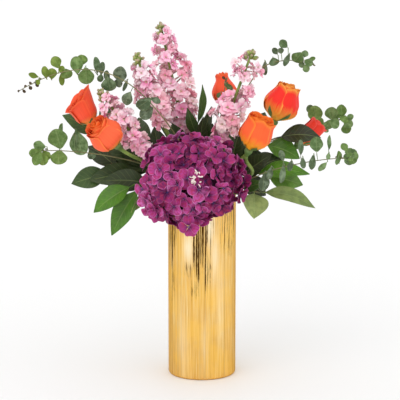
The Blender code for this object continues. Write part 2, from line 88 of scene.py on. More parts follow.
# how deep the florets sit, as shares of the head's reach, and the share of it of the dark heart, painted
# shade deep in the head
HYDRANGEA_DEPTHS = (0.74, 0.84, 0.90, 0.95, 0.98)
HYDRANGEA_CORE = 0.73
CREAM_BUDS = 26
# florets added where the head hangs lowest, in mm
HANGING_FLORETS = (
    (-75, -92, 270), (-65, -94, 262), (-80, -90, 283), (-19, -112, 248), (-74, -86, 290), (-56, -98, 276),
    (-40, -112, 278), (-5, -120, 303),
)

ROSE_STEM_RADIUS = 2.6 * MM
# name, row, slot, foot of the bloom, direction it faces, radius, height
ROSES = (
    ("rose_left_high", "B", -24.6, (-163, -28, 385), (-0.45, -0.10, 0.88), 21, 54),
    ("rose_left_low", "A", -30.8, (-124, -74, 361), (-0.62, -0.42, 0.66), 25, 50),
    ("rose_back", "C", 6.2, (38, 60, 399), (-0.16, 0.10, 1.00), 21, 50),
    ("rose_right_high", "B", 24.6, (108, -5, 387), (0.36, -0.06, 0.90), 27, 58),
    ("rose_right_low", "A", 43.0, (68, -74, 354), (0.36, -0.15, 0.88), 25, 52),
    ("rose_far_right", "B", 36.9, (146, 26, 347), (0.70, 0.05, 0.70), 19, 45),
)
# how each rose is open: width of its body and of its mouth as shares of its radius, how far the lips flare
# in mm, how far its middle stands above its rim, the colours of its heart, body, petal edges and foot,
# how far the foot's colour flames up, how far its mouth slopes, and its height as a share of the CAD bloom's
ROSE_STYLES = {
    "rose_left_high": (0.82, 0.98, 4.2, -0.6, "#F03C1E", "#FC5E3C", "#FF6F3C", "#FFA040", 0.0, 0.20, 0.79),
    "rose_left_low": (1.00, 0.72, 2.6, 1.2, "#FF6A08", "#FF6840", "#FF8440", "#FFB040", 0.0, 0.0, 1.0),
    "rose_back": (0.92, 0.34, 2.8, 0.2, "#E83C20", "#FA5A34", "#FF7A44", "#F0A83C", 0.0, 0.0, 1.04),
    "rose_right_high": (0.98, 0.58, 1.6, 0.2, "#E4261A", "#F4281E", "#FBB048", "#FFC448", 0.6, 0.0, 1.0),
    "rose_right_low": (0.95, 0.78, 2.8, 0.0, "#F0401C", "#FF6630", "#FF9030", "#FFB61C", 0.5, 0.0, 1.0),
    "rose_far_right": (0.74, 0.68, 2.4, 0.0, "#E4281C", "#F23E2C", "#F25A50", "#F09044", 0.0, 0.0, 1.0),
}

STOCK_STEM_RADIUS = 2.8 * MM
# how thick a spike is from its foot to its tip, as (share of its length, share of its radius)
FULL_SPIKE = ((0.0, 0.55), (0.10, 0.95), (0.35, 1.0), (0.60, 0.90), (0.80, 0.68), (0.92, 0.42), (1.0, 0.2))
OPEN_SPIKE = (
    (0.0, 0.5), (0.1, 1.0), (0.3, 1.0), (0.42, 0.6), (0.56, 0.72), (0.8, 0.82), (0.93, 0.5), (1.0, 0.2),
)
# name, row, slot, lowest florets, tip, radius, profile of the spike
STOCKS = (
    ("stock_tall", "C", -6.2, (-28, 46, 369), (-63, 36, 530), 33, FULL_SPIKE),
    ("stock_mid", "B", -12.3, (-64, -12, 395), (-98, -18, 489), 24, FULL_SPIKE),
    ("stock_left", "A", -18.5, (-92, -44, 357), (-152, -34, 437), 22, FULL_SPIKE),
    ("stock_right", "A", 6.2, (28, -8, 365), (75, -10, 493), 29, OPEN_SPIKE),
)

# florets up the open half of a spike: share along it, degrees round it (90 is to the left) and reach in mm
OPEN_FLORETS = (
    (0.74, 90, 17), (0.70, 70, 12), (0.77, 110, 20), (0.72, 120, 9), (0.81, -90, 9), (0.78, -80, 20),
    (0.83, -110, 17), (0.74, -100, 12), (0.52, -90, 15), (0.50, -60, 10), (0.56, -110, 18), (0.46, -100, 14),
    (0.88, 90, 12), (0.90, 60, 8), (0.92, -70, 7), (0.66, -160, 6),
)
# the stretch of that spike whose florets are the ones above
OPEN_STRETCH = (0.42, 0.93)
FLORET_STEP = 3.2 * MM
# how far the florets hang below the spike's foot
FLORET_SKIRT = 16 * MM
# how far up a spike its florets are open, 0.80 for the others
OPEN_SHARE = {"stock_tall": 0.92, "stock_right": 0.90}

EUCALYPTUS_STEM_RADIUS = 1.7 * MM
# name, row, slot, tip, direction there, lift, pull, largest leaf radius, leaf pairs, bare share
EUCALYPTUS = (
    ("eucalyptus_left_high", "A", -6.2, (-268, -14, 433), (-0.85, 0.0, -0.50), 1.30, 1.20, 12.5, 10, 0.42),
    ("eucalyptus_left_low", "B", -36.9, (-246, -30, 343), (-0.90, 0.05, -0.32), 0.55, 0.60, 16.0, 5, 0.55),
    ("eucalyptus_right_high", "C", 18.5, (168, 34, 465), (0.90, 0.0, -0.50), 1.00, 0.75, 10.5, 6, 0.62),
    ("eucalyptus_right_mid", "D", 24.6, (222, 74, 377), (0.90, -0.1, -0.10), 0.60, 0.60, 12.5, 6, 0.60),
    ("eucalyptus_right_low", "A", 30.8, (214, -80, 341), (0.98, 0.0, -0.20), 0.50, 0.60, 9.5, 8, 0.40),
    ("eucalyptus_centre", "B", 0.0, (37, 28, 445), (0.10, 0.0, 1.0), 0.40, 0.40, 6.5, 3, 0.78),
)

SALAL_STEM_RADIUS = 1.9 * MM
LEAF_STALK_SHARE = 0.14
LEAF_STALK_HALF = 0.9 * MM
# name, row, slot, tip of the branch, direction there, then its leaves as
# (share along the branch, tip of the leaf, width, way its upper face looks, droop)
SALAL = (
    ("salal_left_low", "A", -43.0, (-100, -40, 297), (-0.75, -0.35, 0.20), (
        (0.55, (-148, -22, 299), 34, (-0.1, -0.9, 0.3), 0.06),
        (0.70, (-104, -52, 257), 16, (0.8, -0.5, 0.3), 0.05),
        (0.84, (-134, -44, 221), 32, (-0.1, -0.9, 0.4), 0.08),
        (1.00, (-160, -50, 257), 34, (-0.15, -0.8, 0.6), 0.10),
    )),
    ("salal_left_mid", "D", -24.6, (-138, 8, 309), (-0.9, -0.2, 0.1), (
        (0.45, (-84, 16, 355), 26, (0.3, -0.9, 0.3), 0.06),
        (0.60, (-118, 26, 359), 34, (0.2, -0.8, 0.5), 0.08),
        (0.74, (-140, 6, 269), 36, (-0.1, -0.9, 0.4), 0.08),
        (0.88, (-172, 34, 343), 34, (-0.2, -0.7, 0.7), 0.10),
        (1.00, (-196, 2, 291), 34, (0.0, -0.9, 0.4), 0.10),
        (0.62, (-168, -12, 299), 36, (-0.1, -0.9, 0.4), 0.08),
        (0.40, (-136, 46, 329), 34, (0.0, -0.9, 0.4), 0.08),
    )),
    ("salal_left_high", "C", -30.8, (-160, 22, 359), (-0.8, -0.1, 0.5), (
        (0.50, (-96, 62, 383), 34, (-0.2, -0.6, 0.8), 0.08),
        (0.80, (-152, 58, 405), 30, (-0.1, -0.6, 0.8), 0.10),
        (1.00, (-208, 14, 393), 30, (0.2, -0.8, 0.5), 0.10),
    )),
    ("salal_centre", "D", 0.0, (-8, 22, 375), (0.0, -0.1, 1.0), (
        (0.55, (2, 4, 391), 20, (0.1, -0.9, 0.3), 0.06),
        (0.80, (-22, 6, 403), 18, (-0.2, -0.9, 0.2), 0.05),
        (1.00, (1, 14, 438), 14, (0.6, -0.8, 0.0), 0.04),
    )),
    ("salal_right_high", "C", 30.8, (112, 8, 359), (0.85, -0.3, 0.3), (
        (0.42, (92, 16, 333), 34, (0.1, -0.9, 0.4), 0.08),
        (0.60, (96, 62, 391), 34, (0.1, -0.5, 0.8), 0.08),
        (0.80, (146, 2, 329), 36, (0.2, -0.8, 0.6), 0.10),
        (1.00, (176, -12, 363), 32, (0.1, -0.8, 0.6), 0.08),
    )),
    ("salal_right_mid", "B", 12.3, (92, -16, 309), (0.85, -0.4, 0.1), (
        (0.60, (96, 0, 273), 32, (0.1, -0.9, 0.3), 0.06),
        (0.62, (100, -38, 341), 30, (-0.1, -0.9, 0.4), 0.06),
        (0.80, (158, -34, 313), 28, (0.1, -0.8, 0.6), 0.10),
        (1.00, (150, -20, 293), 34, (0.1, -0.9, 0.4), 0.08),
        (0.70, (122, 6, 329), 34, (0.1, -0.9, 0.4), 0.08),
    )),
    ("salal_right_low", "A", 18.5, (84, -42, 285), (0.7, -0.4, -0.1), (
        (0.60, (92, -60, 303), 18, (0.5, -0.8, 0.3), 0.06),
        (0.90, (76, -68, 251), 40, (0.2, -0.95, 0.1), 0.10),
        (1.00, (166, -60, 267), 26, (0.0, -0.7, 0.7), 0.14),
    )),
    ("salal_back_left", "D", -12.3, (-62, 96, 313), (-0.5, 0.8, 0.1), (
        (0.40, (-40, 108, 379), 34, (-0.1, 0.7, 0.7), 0.10),
        (0.55, (-92, 92, 349), 34, (-0.3, 0.6, 0.7), 0.10),
        (0.75, (-26, 122, 329), 34, (0.2, 0.7, 0.7), 0.10),
        (0.90, (-112, 112, 289), 34, (-0.3, 0.8, 0.6), 0.10),
        (1.00, (-66, 140, 269), 34, (0.0, 0.8, 0.6), 0.10),
    )),
    ("salal_back_right", "D", 12.3, (52, 92, 307), (0.5, 0.8, 0.1), (
        (0.40, (30, 108, 379), 34, (0.1, 0.7, 0.7), 0.10),
        (0.55, (88, 98, 347), 34, (0.3, 0.6, 0.7), 0.10),
        (0.75, (14, 118, 323), 34, (-0.2, 0.7, 0.7), 0.10),
        (0.90, (104, 106, 283), 34, (0.4, 0.8, 0.6), 0.10),
        (1.00, (50, 136, 261), 34, (0.0, 0.8, 0.6), 0.10),
    )),
)
# how fresh the leaves of each salal branch look, leaf by leaf: 0 is dark and old, 1 is pale and young
SALAL_FRESH = {
    "salal_left_low": (0.20, 0.95, 0.64, 0.70),
    "salal_left_mid": (0.10, 0.15, 0.72, 0.12, 0.34, 0.24, 0.10),
    "salal_left_high": (0.25, 0.30, 0.48),
    "salal_centre": (0.10, 0.30, 0.52),
    "salal_right_high": (0.08, 0.12, 0.62, 0.0),
    "salal_right_mid": (0.05, 0.12, 0.72, 0.80, 0.06),
    "salal_right_low": (0.50, 1.00, 0.94),
}
# leaves added low among the stems, seen only between the flowers: share along the branch, tip and width
FILL_LEAVES = {
    "salal_centre": ((0.35, (16, 24, 378), 26), (0.30, (-44, 20, 366), 26), (0.50, (30, 30, 372), 22),
                     (0.30, (-70, 22, 390), 28), (0.40, (14, 20, 404), 20)),
    "salal_left_high": ((0.25, (-72, 34, 372), 34), (0.30, (-52, 40, 350), 34)),
    "salal_left_mid": ((0.45, (-158, 28, 328), 38), (0.35, (-150, 24, 354), 34)),
    "salal_right_high": ((0.30, (70, 20, 352), 30), (0.25, (55, 6, 366), 28)),
}
# leaves of the eucalyptus branches that reach out: where each is fixed, its tip and its width, in mm
EUCALYPTUS_LEAVES = {
    "eucalyptus_left_low": (
        ((-207, -34, 346), (-215, -34, 379), 27), ((-210, -30, 349), (-213, -30, 325), 24),
        ((-186, -22, 378), (-178, -22, 337), 26), ((-186, -24, 346), (-186, -22, 378), 5),
        ((-228, -34, 352), (-249, -34, 353), 15), ((-235, -38, 348), (-254, -38, 339), 14),
        ((-236, -42, 349), (-246, -42, 326), 14), ((-236, -38, 346), (-233, -38, 325), 15),
        ((-235, -34, 347), (-225, -34, 333), 14), ((-209, -28, 363), (-208, -28, 387), 6),
        ((-167, -20, 346), (-161, -20, 331), 12),
    ),
    "eucalyptus_right_low": (
        ((215, -82, 345), (226, -82, 345), 12), ((215, -84, 345), (220, -84, 335), 12),
        ((215, -80, 344), (209, -80, 333), 12), ((215, -78, 343), (204, -78, 341), 12),
        ((215, -76, 345), (211, -76, 356), 12), ((215, -78, 346), (222, -78, 354), 10),
        ((214, -88, 346), (220, -88, 347), 8), ((214, -90, 346), (214, -90, 339), 8),
        ((214, -92, 346), (210, -92, 351), 8), ((211, -76, 351), (202, -76, 363), 10),
        ((198, -80, 334), (198, -80, 353), 8), ((166, -74, 348), (165, -74, 373), 18),
        ((161, -84, 350), (158, -84, 326), 10), ((183, -76, 350), (183, -76, 376), 6),
        ((183, -84, 352), (181, -84, 341), 6), ((181, -84, 338), (168, -84, 324), 8),
        ((197, -84, 347), (194, -84, 333), 6), ((143, -72, 343), (143, -72, 368), 8),
        ((145, -84, 346), (146, -84, 326), 8), ((117, -84, 336), (115, -84, 306), 10),
        ((118, -74, 335), (114, -74, 354), 9), ((100, -86, 332), (96, -86, 312), 9),
        ((91, -84, 324), (87, -84, 295), 16), ((129, -84, 341), (125, -84, 324), 8),
    ),
    "eucalyptus_left_high": (
        ((-265, -14, 435), (-260, -14, 429), 4), ((-262, -14, 437), (-259, -14, 441), 4),
        ((-255, -14, 440), (-251, -14, 434), 5), ((-268, -14, 433), (-272, -14, 431), 4),
        ((-250, -14, 441), (-254, -14, 446), 4), ((-246, -14, 444), (-241, -14, 438), 5),
        ((-239, -14, 452), (-255, -14, 458), 8), ((-228, -14, 449), (-233, -14, 469), 10),
        ((-221, -14, 448), (-221, -14, 466), 14), ((-238, -18, 450), (-243, -18, 442), 8),
        ((-210, -14, 464), (-218, -14, 483), 15), ((-211, -18, 460), (-203, -18, 469), 9),
        ((-207, -14, 461), (-206, -14, 440), 8), ((-202, -20, 467), (-196, -20, 451), 16),
        ((-182, -14, 455), (-186, -14, 483), 18), ((-178, -10, 468), (-175, -10, 485), 15),
        ((-170, -22, 470), (-170, -22, 443), 22), ((-153, -20, 456), (-156, -20, 483), 10),
        ((-147, -24, 456), (-146, -24, 476), 9), ((-147, -28, 460), (-150, -28, 446), 9),
        ((-140, -26, 445), (-138, -26, 464), 10), ((-138, -32, 457), (-135, -32, 433), 21),
        ((-118, -34, 444), (-118, -34, 471), 20), ((-120, -28, 454), (-123, -28, 439), 14),
        ((-108, -36, 452), (-115, -36, 434), 6), ((-103, -44, 436), (-114, -44, 415), 15),
        ((-72, -62, 429), (-94, -62, 411), 18), ((-70, -56, 415), (-89, -56, 397), 18),
        ((-76, -50, 426), (-60, -50, 420), 9),
    ),
    "eucalyptus_right_high": (
        ((94, 36, 473), (94, 36, 448), 8), ((106, 34, 478), (108, 34, 464), 16),
        ((114, 38, 480), (105, 38, 490), 9), ((119, 36, 481), (117, 36, 491), 9),
        ((129, 36, 491), (116, 36, 501), 12), ((131, 30, 484), (123, 30, 464), 8),
        ((150, 30, 486), (138, 30, 469), 18), ((152, 34, 476), (157, 34, 487), 10),
        ((152, 28, 474), (165, 28, 466), 12), ((153, 32, 467), (158, 32, 455), 10),
        ((148, 36, 473), (151, 36, 461), 9), ((158, 34, 473), (170, 34, 476), 6),
    ),
    "eucalyptus_centre": (
        ((33, 26, 441), (47, 26, 426), 8), ((28, 26, 426), (23, 26, 417), 7),
        ((36, 26, 444), (30, 26, 449), 4),
    ),
    "eucalyptus_right_mid": (
        ((176, 72, 370), (171, 72, 400), 21), ((186, 64, 367), (174, 64, 381), 14),
        ((201, 72, 375), (197, 72, 397), 20), ((192, 62, 378), (209, 62, 369), 16),
        ((197, 60, 381), (189, 60, 364), 15), ((215, 76, 379), (213, 76, 401), 15),
        ((208, 68, 382), (225, 68, 377), 12), ((216, 72, 378), (230, 72, 367), 14),
        ((219, 76, 373), (224, 76, 356), 15), ((221, 78, 376), (232, 78, 384), 9),
        ((178, 58, 371), (193, 58, 361), 8), ((172, 80, 388), (162, 80, 398), 12),
        ((206, 80, 376), (209, 80, 388), 10),
    ),
}
# the age that marks the brown buds at a branch's tip
BUD_AGE = 1.01
# how fresh a eucalyptus branch's leaves are at its lowest pair and at its tip
EUCALYPTUS_FRESH = {
    "eucalyptus_left_high": (0.06, 0.95),
    "eucalyptus_left_low": (0.22, 0.55),
    "eucalyptus_right_high": (0.12, 0.40),
    "eucalyptus_right_mid": (0.22, 0.50),
    "eucalyptus_right_low": (0.02, 0.42),
}
# dark streaks down the lustre, painted reflection of the foliage above and painted shade under it:
# degrees round from the front, width in degrees, height of the lower end in mm, and how dark it is
STREAKS = (
    (-68, 4.0, 168, 0.8), (-60, 3.4, 144, 1.0), (-54, 2.0, 172, 0.9), (-50, 1.6, 184, 0.8),
    (-45, 1.4, 196, 0.6), (-38, 1.0, 204, 0.4), (-30, 0.8, 196, 0.35), (-18, 1.2, 170, 0.5),
    (-13.6, 1.9, 148, 1.0), (-9.6, 1.5, 138, 1.0), (-6, 2.5, 124, 1.0), (-2.4, 1.2, 156, 0.95),
    (1, 2.2, 154, 1.0), (5.9, 1.7, 114, 0.95), (9.2, 1.2, 182, 0.7), (14.5, 1.0, 166, 0.5),
    (19, 0.8, 198, 0.4), (27, 0.9, 200, 0.42), (32, 1.2, 186, 0.5), (37, 1.1, 196, 0.55),
    (42, 1.4, 180, 0.62), (47, 1.3, 186, 0.66), (52, 1.8, 170, 0.66), (58, 2.2, 160, 0.66),
    (66, 3.0, 172, 0.6),
)
# narrow streaks of the same painted shade strewn over the back as well
BACK_STREAKS = 40
STREAK_FADE = 45 * MM
# painted contact shadow along the foot, as the share of painted shade on its lowest rows
FOOT_CONTACT_SHADOW = 0.8
# dark patches of painted shade and pale patches of painted highlight on the lustre: degrees round,
# width in degrees, middle height and half height in mm, and how strong
PAINTED_SHADE_PATCHES = (
    (-24, 11, 170, 14, 0.55), (-12, 9, 140, 18, 0.62), (9, 8, 166, 30, 0.55), (-60, 8, 150, 45, 0.55),
    (50, 20, 205, 22, 0.45),
)
PAINTED_HIGHLIGHT_PATCHES = (
    (-24, 9, 202, 20, 1.0), (14, 8, 236, 34, 1.0), (22, 9, 190, 40, 0.7), (-20, 6, 205, 26, 0.8),
    (32, 8, 130, 60, 0.35), (-34, 8, 60, 50, 0.4), (4, 6, 60, 40, 0.3),
)

# ---- camera and light ----
CAMERA_TARGET = (-0.003, 0.0, 0.266)
CAMERA_DISTANCE = 2.5
CAMERA_ELEVATION = 10.5
CAMERA_LENS = 150
CAMERA_SENSOR = 36
FLOOR_HALF = 25.0
WORLD_LIGHT = 0.95
# name, way the light comes from, its angle across in degrees and its strength
SUNS = (
    ("key", (-0.45, -0.80, 0.75), 50, 0.55),
    ("fill", (0.8, -0.6, 0.5), 60, 0.20),
)


# ---- paths ----
def bend(start, leave, end, arrive, steps):
    """Points of a smooth Hermite curve from start to end, start left out."""
    points = []
    for i in range(1, steps + 1):
        t = i / steps
        points.append(
            start * (2 * t**3 - 3 * t**2 + 1)
            + leave * (t**3 - 2 * t**2 + t)
            + end * (3 * t**2 - 2 * t**3)
            + arrive * (t**3 - t**2)
        )
    return points


def stem_path(name, row, x, end, direction, lift=0.8, pull=0.8, steps=(16, 28)):
    """Foot, mouth and the bend to the end, through the stem's waypoint if it has one."""
    mouth = Vector((x * MM, SLOT_ROWS_Y["ABCD".index(row)], VASE_HEIGHT))
    foot = Vector((mouth.x * FOOT_SPREAD, mouth.y * FOOT_SPREAD, FOOT_Z))
    points = [foot, mouth]
    start = mouth
    leave = (mouth - foot).normalized()
    if name in WAYPOINTS:
        place, turn = WAYPOINTS[name]
        via = Vector(place) * MM
        through = Vector(turn).normalized()
        reach = (via - mouth).length * 0.8
        points += bend(mouth, leave * reach, via, through * reach, steps[0])
        start, leave = via, through
    reach = (end - start).length
    arrive = Vector(direction).normalized() * reach * pull
    return points + bend(start, leave * reach * lift, end, arrive, steps[1])


def leafing_path(name, coarse, *where):
    """The path above the foot with as few points as the CAD branch's, which sets where its leaves stand."""
    return stem_path(name, *where, steps=(4, coarse - (name in WAYPOINTS)))[1:]


def along(points, share):
    """The place and direction at a share of the way along a list of points, by length."""
    lengths = [(b - a).length for a, b in zip(points, points[1:])]
    left = share * sum(lengths)
    for a, b, length in zip(points, points[1:], lengths):
        if left <= length:
            break
        left -= length
    return a.lerp(b, min(1, left / length)), (b - a).normalized()


def facing(direction, upper=(0, 0, 1)):
    """A rotation that takes +Z to the direction, and +Y as near to the upper vector as it can."""
    z = Vector(direction).normalized()
    x = Vector(upper).cross(z)
    if x.length < 1e-4:
        x = Vector((1, 0, 0))
    x.normalize()
    y = z.cross(x)
    return Matrix((x, y, z)).transposed().to_4x4()


def spin(degrees, axis="Z"):
    return Matrix.Rotation(math.radians(degrees), 4, axis)


def shift(x=0.0, y=0.0, z=0.0):
    return Matrix.Translation((x, y, z))


def stretched(x, y, z):
    return Matrix.Diagonal((x, y, z, 1))


def strayed(rng, x, y, z):
    """A random vector within its reach each way along each axis."""
    return Vector((rng.uniform(-x, x), rng.uniform(-y, y), rng.uniform(-z, z)))


def placed(name, data):
    """A new object in the scene."""
    obj = bpy.data.objects.new(name, data)
    bpy.context.scene.collection.objects.link(obj)
    return obj


def profile_at(profile, share):
    """The value at a share along a list of (share, value) pairs."""
    for (s0, v0), (s1, v1) in zip(profile, profile[1:]):
        if share <= s1:
            break
    return v0 + (v1 - v0) * (share - s0) / (s1 - s0)


# ---- meshes of many petals or leaves ----
def smooth(x):
    """0 to 1 with a soft start and end."""
    x = np.clip(x, 0, 1)
    return x * x * (3 - 2 * x)


def grid_faces(rows, cols):
    """The quads of a grid of rows x cols points."""
    corner = (np.arange(rows - 1)[:, None] * cols + np.arange(cols - 1)[None, :]).ravel()
    return np.stack([corner, corner + 1, corner + cols + 1, corner + cols], axis=1)


def disc_grid(rows, cols):
    """Across and along values, each -1 to 1, of a grid mapped from a square to a disc."""
    v, u = np.meshgrid(np.linspace(-1, 1, rows), np.linspace(-1, 1, cols), indexing="ij")
    return u * np.sqrt(1 - v * v / 2), v * np.sqrt(1 - u * u / 2)


class Batch:
    """Collects petals, leaves or small lumps into one mesh.

    Each point carries place, which is (across, along, tone of its petal), and mark, which is
    (distance from the middle, age, layer), for the materials to read.
    """

    def __init__(self):
        self.points = []
        self.faces = []
        self.place = []
        self.mark = []
        self.count = 0

    def add(self, points, faces, turn, across, lengthwise, edge, tone=0.5, age=0.5, layer=0.0):
        matrix = np.array(turn)
        flat = points.reshape(-1, 3)
        self.points.append(flat @ matrix[:3, :3].T + matrix[:3, 3])
        self.faces += (faces + self.count).tolist()
        full = np.ones(len(flat))
        self.place.append(np.stack([across.ravel(), lengthwise.ravel(), full * tone], axis=1))
        self.mark.append(np.stack([edge.ravel(), full * age, full * layer], axis=1))
        self.count += len(flat)

    def lump(self, template, turn, tone, age=0.5):
        points, faces = template
        high = (points[:, 2] - points[:, 2].min()) / np.ptp(points[:, 2])
        self.add(points, faces, turn, points[:, 0] * 0, high, high * 0, tone, age)

    def build(self, name, look, slot, thickness=None, replaces=()):
        mesh = bpy.data.meshes.new(name)
        mesh.from_pydata(np.concatenate(self.points).tolist(), [], self.faces)
        for key, values in (("place", self.place), ("mark", self.mark)):
            made = mesh.attributes.new(key, "FLOAT_VECTOR", "POINT")
            made.data.foreach_set("vector", np.concatenate(values).astype(np.float32).ravel())
        mesh.materials.append(look)
        mesh.shade_smooth()
        obj = placed(name, mesh)
        if thickness:
            solid = obj.modifiers.new("thickness", "SOLIDIFY")
            solid.thickness = thickness
            solid.offset = 0
            even = obj.modifiers.new("normals", "WEIGHTED_NORMAL")
            even.weight = 100
        return own(obj, replaces)


def own(obj, replaces=()):
    """The piece rides with the arrangement and stands for CAD nodes."""
    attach(obj, BODY)
    if replaces:
        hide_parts(*replaces)
    return obj


def sphere_template(subdivisions=2):
    """Points and faces of a sphere of radius 1."""
    bm = bmesh.new()
    bmesh.ops.create_icosphere(bm, subdivisions=subdivisions, radius=1)
    points = np.array([v.co for v in bm.verts])
    faces = np.array([[v.index for v in f.verts] for f in bm.faces])
    bm.free()
    return points, faces


def tube_template(sides=8, rings=((0.0, 0.6), (0.5, 0.8), (1.0, 1.0))):
    """A closed tapering tube along +Z, as (height, radius) rings with a point at each end."""
    points = [(0, 0, rings[0][0])]
    for z, radius in rings:
        for i in range(sides):
            angle = 2 * math.pi * i / sides
            points.append((radius * math.cos(angle), radius * math.sin(angle), z))
    points.append((0, 0, rings[-1][0]))
    faces = []
    for i in range(sides):
        j = (i + 1) % sides
        faces.append((0, 1 + j, 1 + i))
        last = 1 + sides * (len(rings) - 1)
        faces.append((last + i, last + j, len(points) - 1))
        for k in range(len(rings) - 1):
            low = 1 + sides * k
            faces.append((low + i, low + j, low + sides + j))
            faces.append((low + i, low + sides + j, low + sides + i))
    return np.array(points, float), np.array(faces)


SPHERE = sphere_template()
TUBE = tube_template()


def petal(width, length, rows, cols, waist, cup, curl, ruffle, waves, phase, notch=0.0, fold=0.0):
    """A round petal from its foot at the origin along +Y, upper face up.

    cup and fold lift its sides, curl bends its tip back in radians, and ruffle waves its edge.
    """
    dx, dy = disc_grid(rows, cols)
    t = (dy + 1) / 2
    radius = np.hypot(dx, dy)
    angle = np.arctan2(dx, dy)
    t = t - notch * np.exp(-(dx / 0.25) ** 2) * smooth((t - 0.6) / 0.4)
    x = dx * width / 2 * (waist + (1 - waist) * smooth(t / 0.5))
    lift = cup * width * dx**2 + fold * width * np.abs(dx)
    lift = lift + ruffle * length * np.sin(waves * angle + phase) * radius**3
    whole = curl if abs(curl) > 1e-3 else 1e-3
    turn = whole * t
    y = length * np.sin(turn) / whole + lift * np.sin(turn)
    z = -length * (1 - np.cos(turn)) / whole + lift * np.cos(turn)
    return np.stack([x, y, z], axis=2), dx, t, radius


def add_petal(batch, turn, width, length, tone, age=0.5, layer=0.0, rows=7, cols=7, **shape):
    grid, across, lengthwise, edge = petal(width, length, rows, cols, **shape)
    batch.add(grid, grid_faces(rows, cols), turn, across, lengthwise, edge, tone, age, layer)


def leaf_turn(start, tip, normal):
    """The frame of a leaf: +Y from its start to its tip and +Z near the normal, with its length."""
    y = (tip - start).normalized()
    x = y.cross(Vector(normal)).normalized()
    z = x.cross(y)
    return shift(*start) @ Matrix((x, y, z)).transposed().to_4x4(), (tip - start).length


def pointed_leaf(length, width, droop, rng, rows=17, cols=11):
    """A pointed oval leaf with its stalk, from the origin along +Y, with a fold along its midrib."""
    t, u = np.meshgrid(np.linspace(0, 1, rows), np.linspace(-1, 1, cols), indexing="ij")
    s = np.clip((t - LEAF_STALK_SHARE) / (1 - LEAF_STALK_SHARE), 0, 1)
    half = np.maximum(LEAF_STALK_HALF * (1 - 0.6 * t), width / 2 * np.sin(np.pi * s**0.85) ** 0.9)
    sway = rng.uniform(-0.04, 0.04) * length * np.sin(np.pi * t)
    wave = rng.uniform(0.02, 0.05) * width * np.sin(2 * np.pi * (rng.uniform(1.5, 2.5) * t + rng.random()))
    x = u * half + sway
    z = droop * length * np.sin(np.pi * t) + 0.26 * half * np.abs(u) + wave * u**2 * np.sign(u)
    z -= rng.uniform(0.0, 0.05) * length * smooth((t - 0.7) / 0.3)
    return np.stack([x, t * length, z], axis=2), u, s, np.abs(u)


# ---- materials ----
def srgb(code):
    """A #RRGGBB colour as linear RGBA."""
    values = [int(code[i:i + 2], 16) / 255 for i in (1, 3, 5)]
    return [c / 12.92 if c <= 0.04045 else ((c + 0.055) / 1.055) ** 2.4 for c in values] + [1.0]


class Look:
    """A Principled material, with short ways to wire nodes into it."""

    def __init__(self, name, **sockets):
        self.material = bpy.data.materials.new(name)
        self.material.use_nodes = True
        self.tree = self.material.node_tree
        self.shader = self.tree.nodes["Principled BSDF"]
        for key, value in sockets.items():
            self.put(key.replace("_", " "), value)

    def put(self, key, value):
        self.feed(self.shader.inputs[key], value)

    def feed(self, socket, value):
        if isinstance(value, bpy.types.NodeSocket):
            self.tree.links.new(value, socket)
        elif isinstance(value, str):
            socket.default_value = srgb(value)
        else:
            socket.default_value = value

    def node(self, kind, feeds=(), **settings):
        made = self.tree.nodes.new(kind)
        for key, value in settings.items():
            setattr(made, key, value)
        for key, value in dict(feeds).items():
            self.feed(made.inputs[key], value)
        return made

    def calc(self, operation, a, b=0.0):
        return self.node("ShaderNodeMath", {0: a, 1: b}, operation=operation).outputs[0]

    def times(self, a, b):
        return self.calc("MULTIPLY", a, b)

    def read(self, attribute):
        """The three values of a point attribute."""
        vector = self.node("ShaderNodeAttribute", attribute_name=attribute).outputs["Vector"]
        return self.node("ShaderNodeSeparateXYZ", {0: vector}).outputs[:3]

    def blend(self, factor, a, b):
        made = self.node("ShaderNodeMix", {0: factor, 6: a, 7: b}, data_type="RGBA")
        return made.outputs[2]

    def ramp(self, value, *stops):
        """A smooth step between (position, colour or grey) stops."""
        made = self.node("ShaderNodeValToRGB", {0: value})
        elements = made.color_ramp.elements
        while len(elements) < len(stops):
            elements.new(0.5)
        for element, (position, colour) in zip(elements, stops):
            element.position = position
            element.color = srgb(colour) if isinstance(colour, str) else (colour, colour, colour, 1)
        return made.outputs[0]

    def noise(self, scale, vector=None, detail=3.0):
        feeds = {"Scale": scale, "Detail": detail, "Roughness": 0.55}
        if vector is not None:
            feeds["Vector"] = vector
        return self.node("ShaderNodeTexNoise", feeds).outputs[0]

    def vector(self, x, y, z):
        return self.node("ShaderNodeCombineXYZ", {0: x, 1: y, 2: z}).outputs[0]

    def object_place(self):
        return self.node("ShaderNodeTexCoord").outputs["Object"]

    def finish(self, colour, grain, smoother, rougher, relief, strength, height=None):
        """The colour, a roughness that follows the grain, and the grain or another height as relief."""
        self.put("Base Color", colour)
        self.put("Roughness", self.ramp(grain, (0.3, smoother), (0.7, rougher)))
        bump = {"Height": height or grain, "Distance": relief * MM, "Strength": strength}
        self.put("Normal", self.node("ShaderNodeBump", bump).outputs[0])
        return self.material


def fine_lines(look, across, lengthwise, tone, count, stretch):
    """Noise drawn out along the petal, as fine veins."""
    vector = look.vector(
        look.times(across, count),
        look.times(lengthwise, stretch),
        look.times(tone, 31.0),
    )
    return look.noise(1.0, vector, detail=4.0)


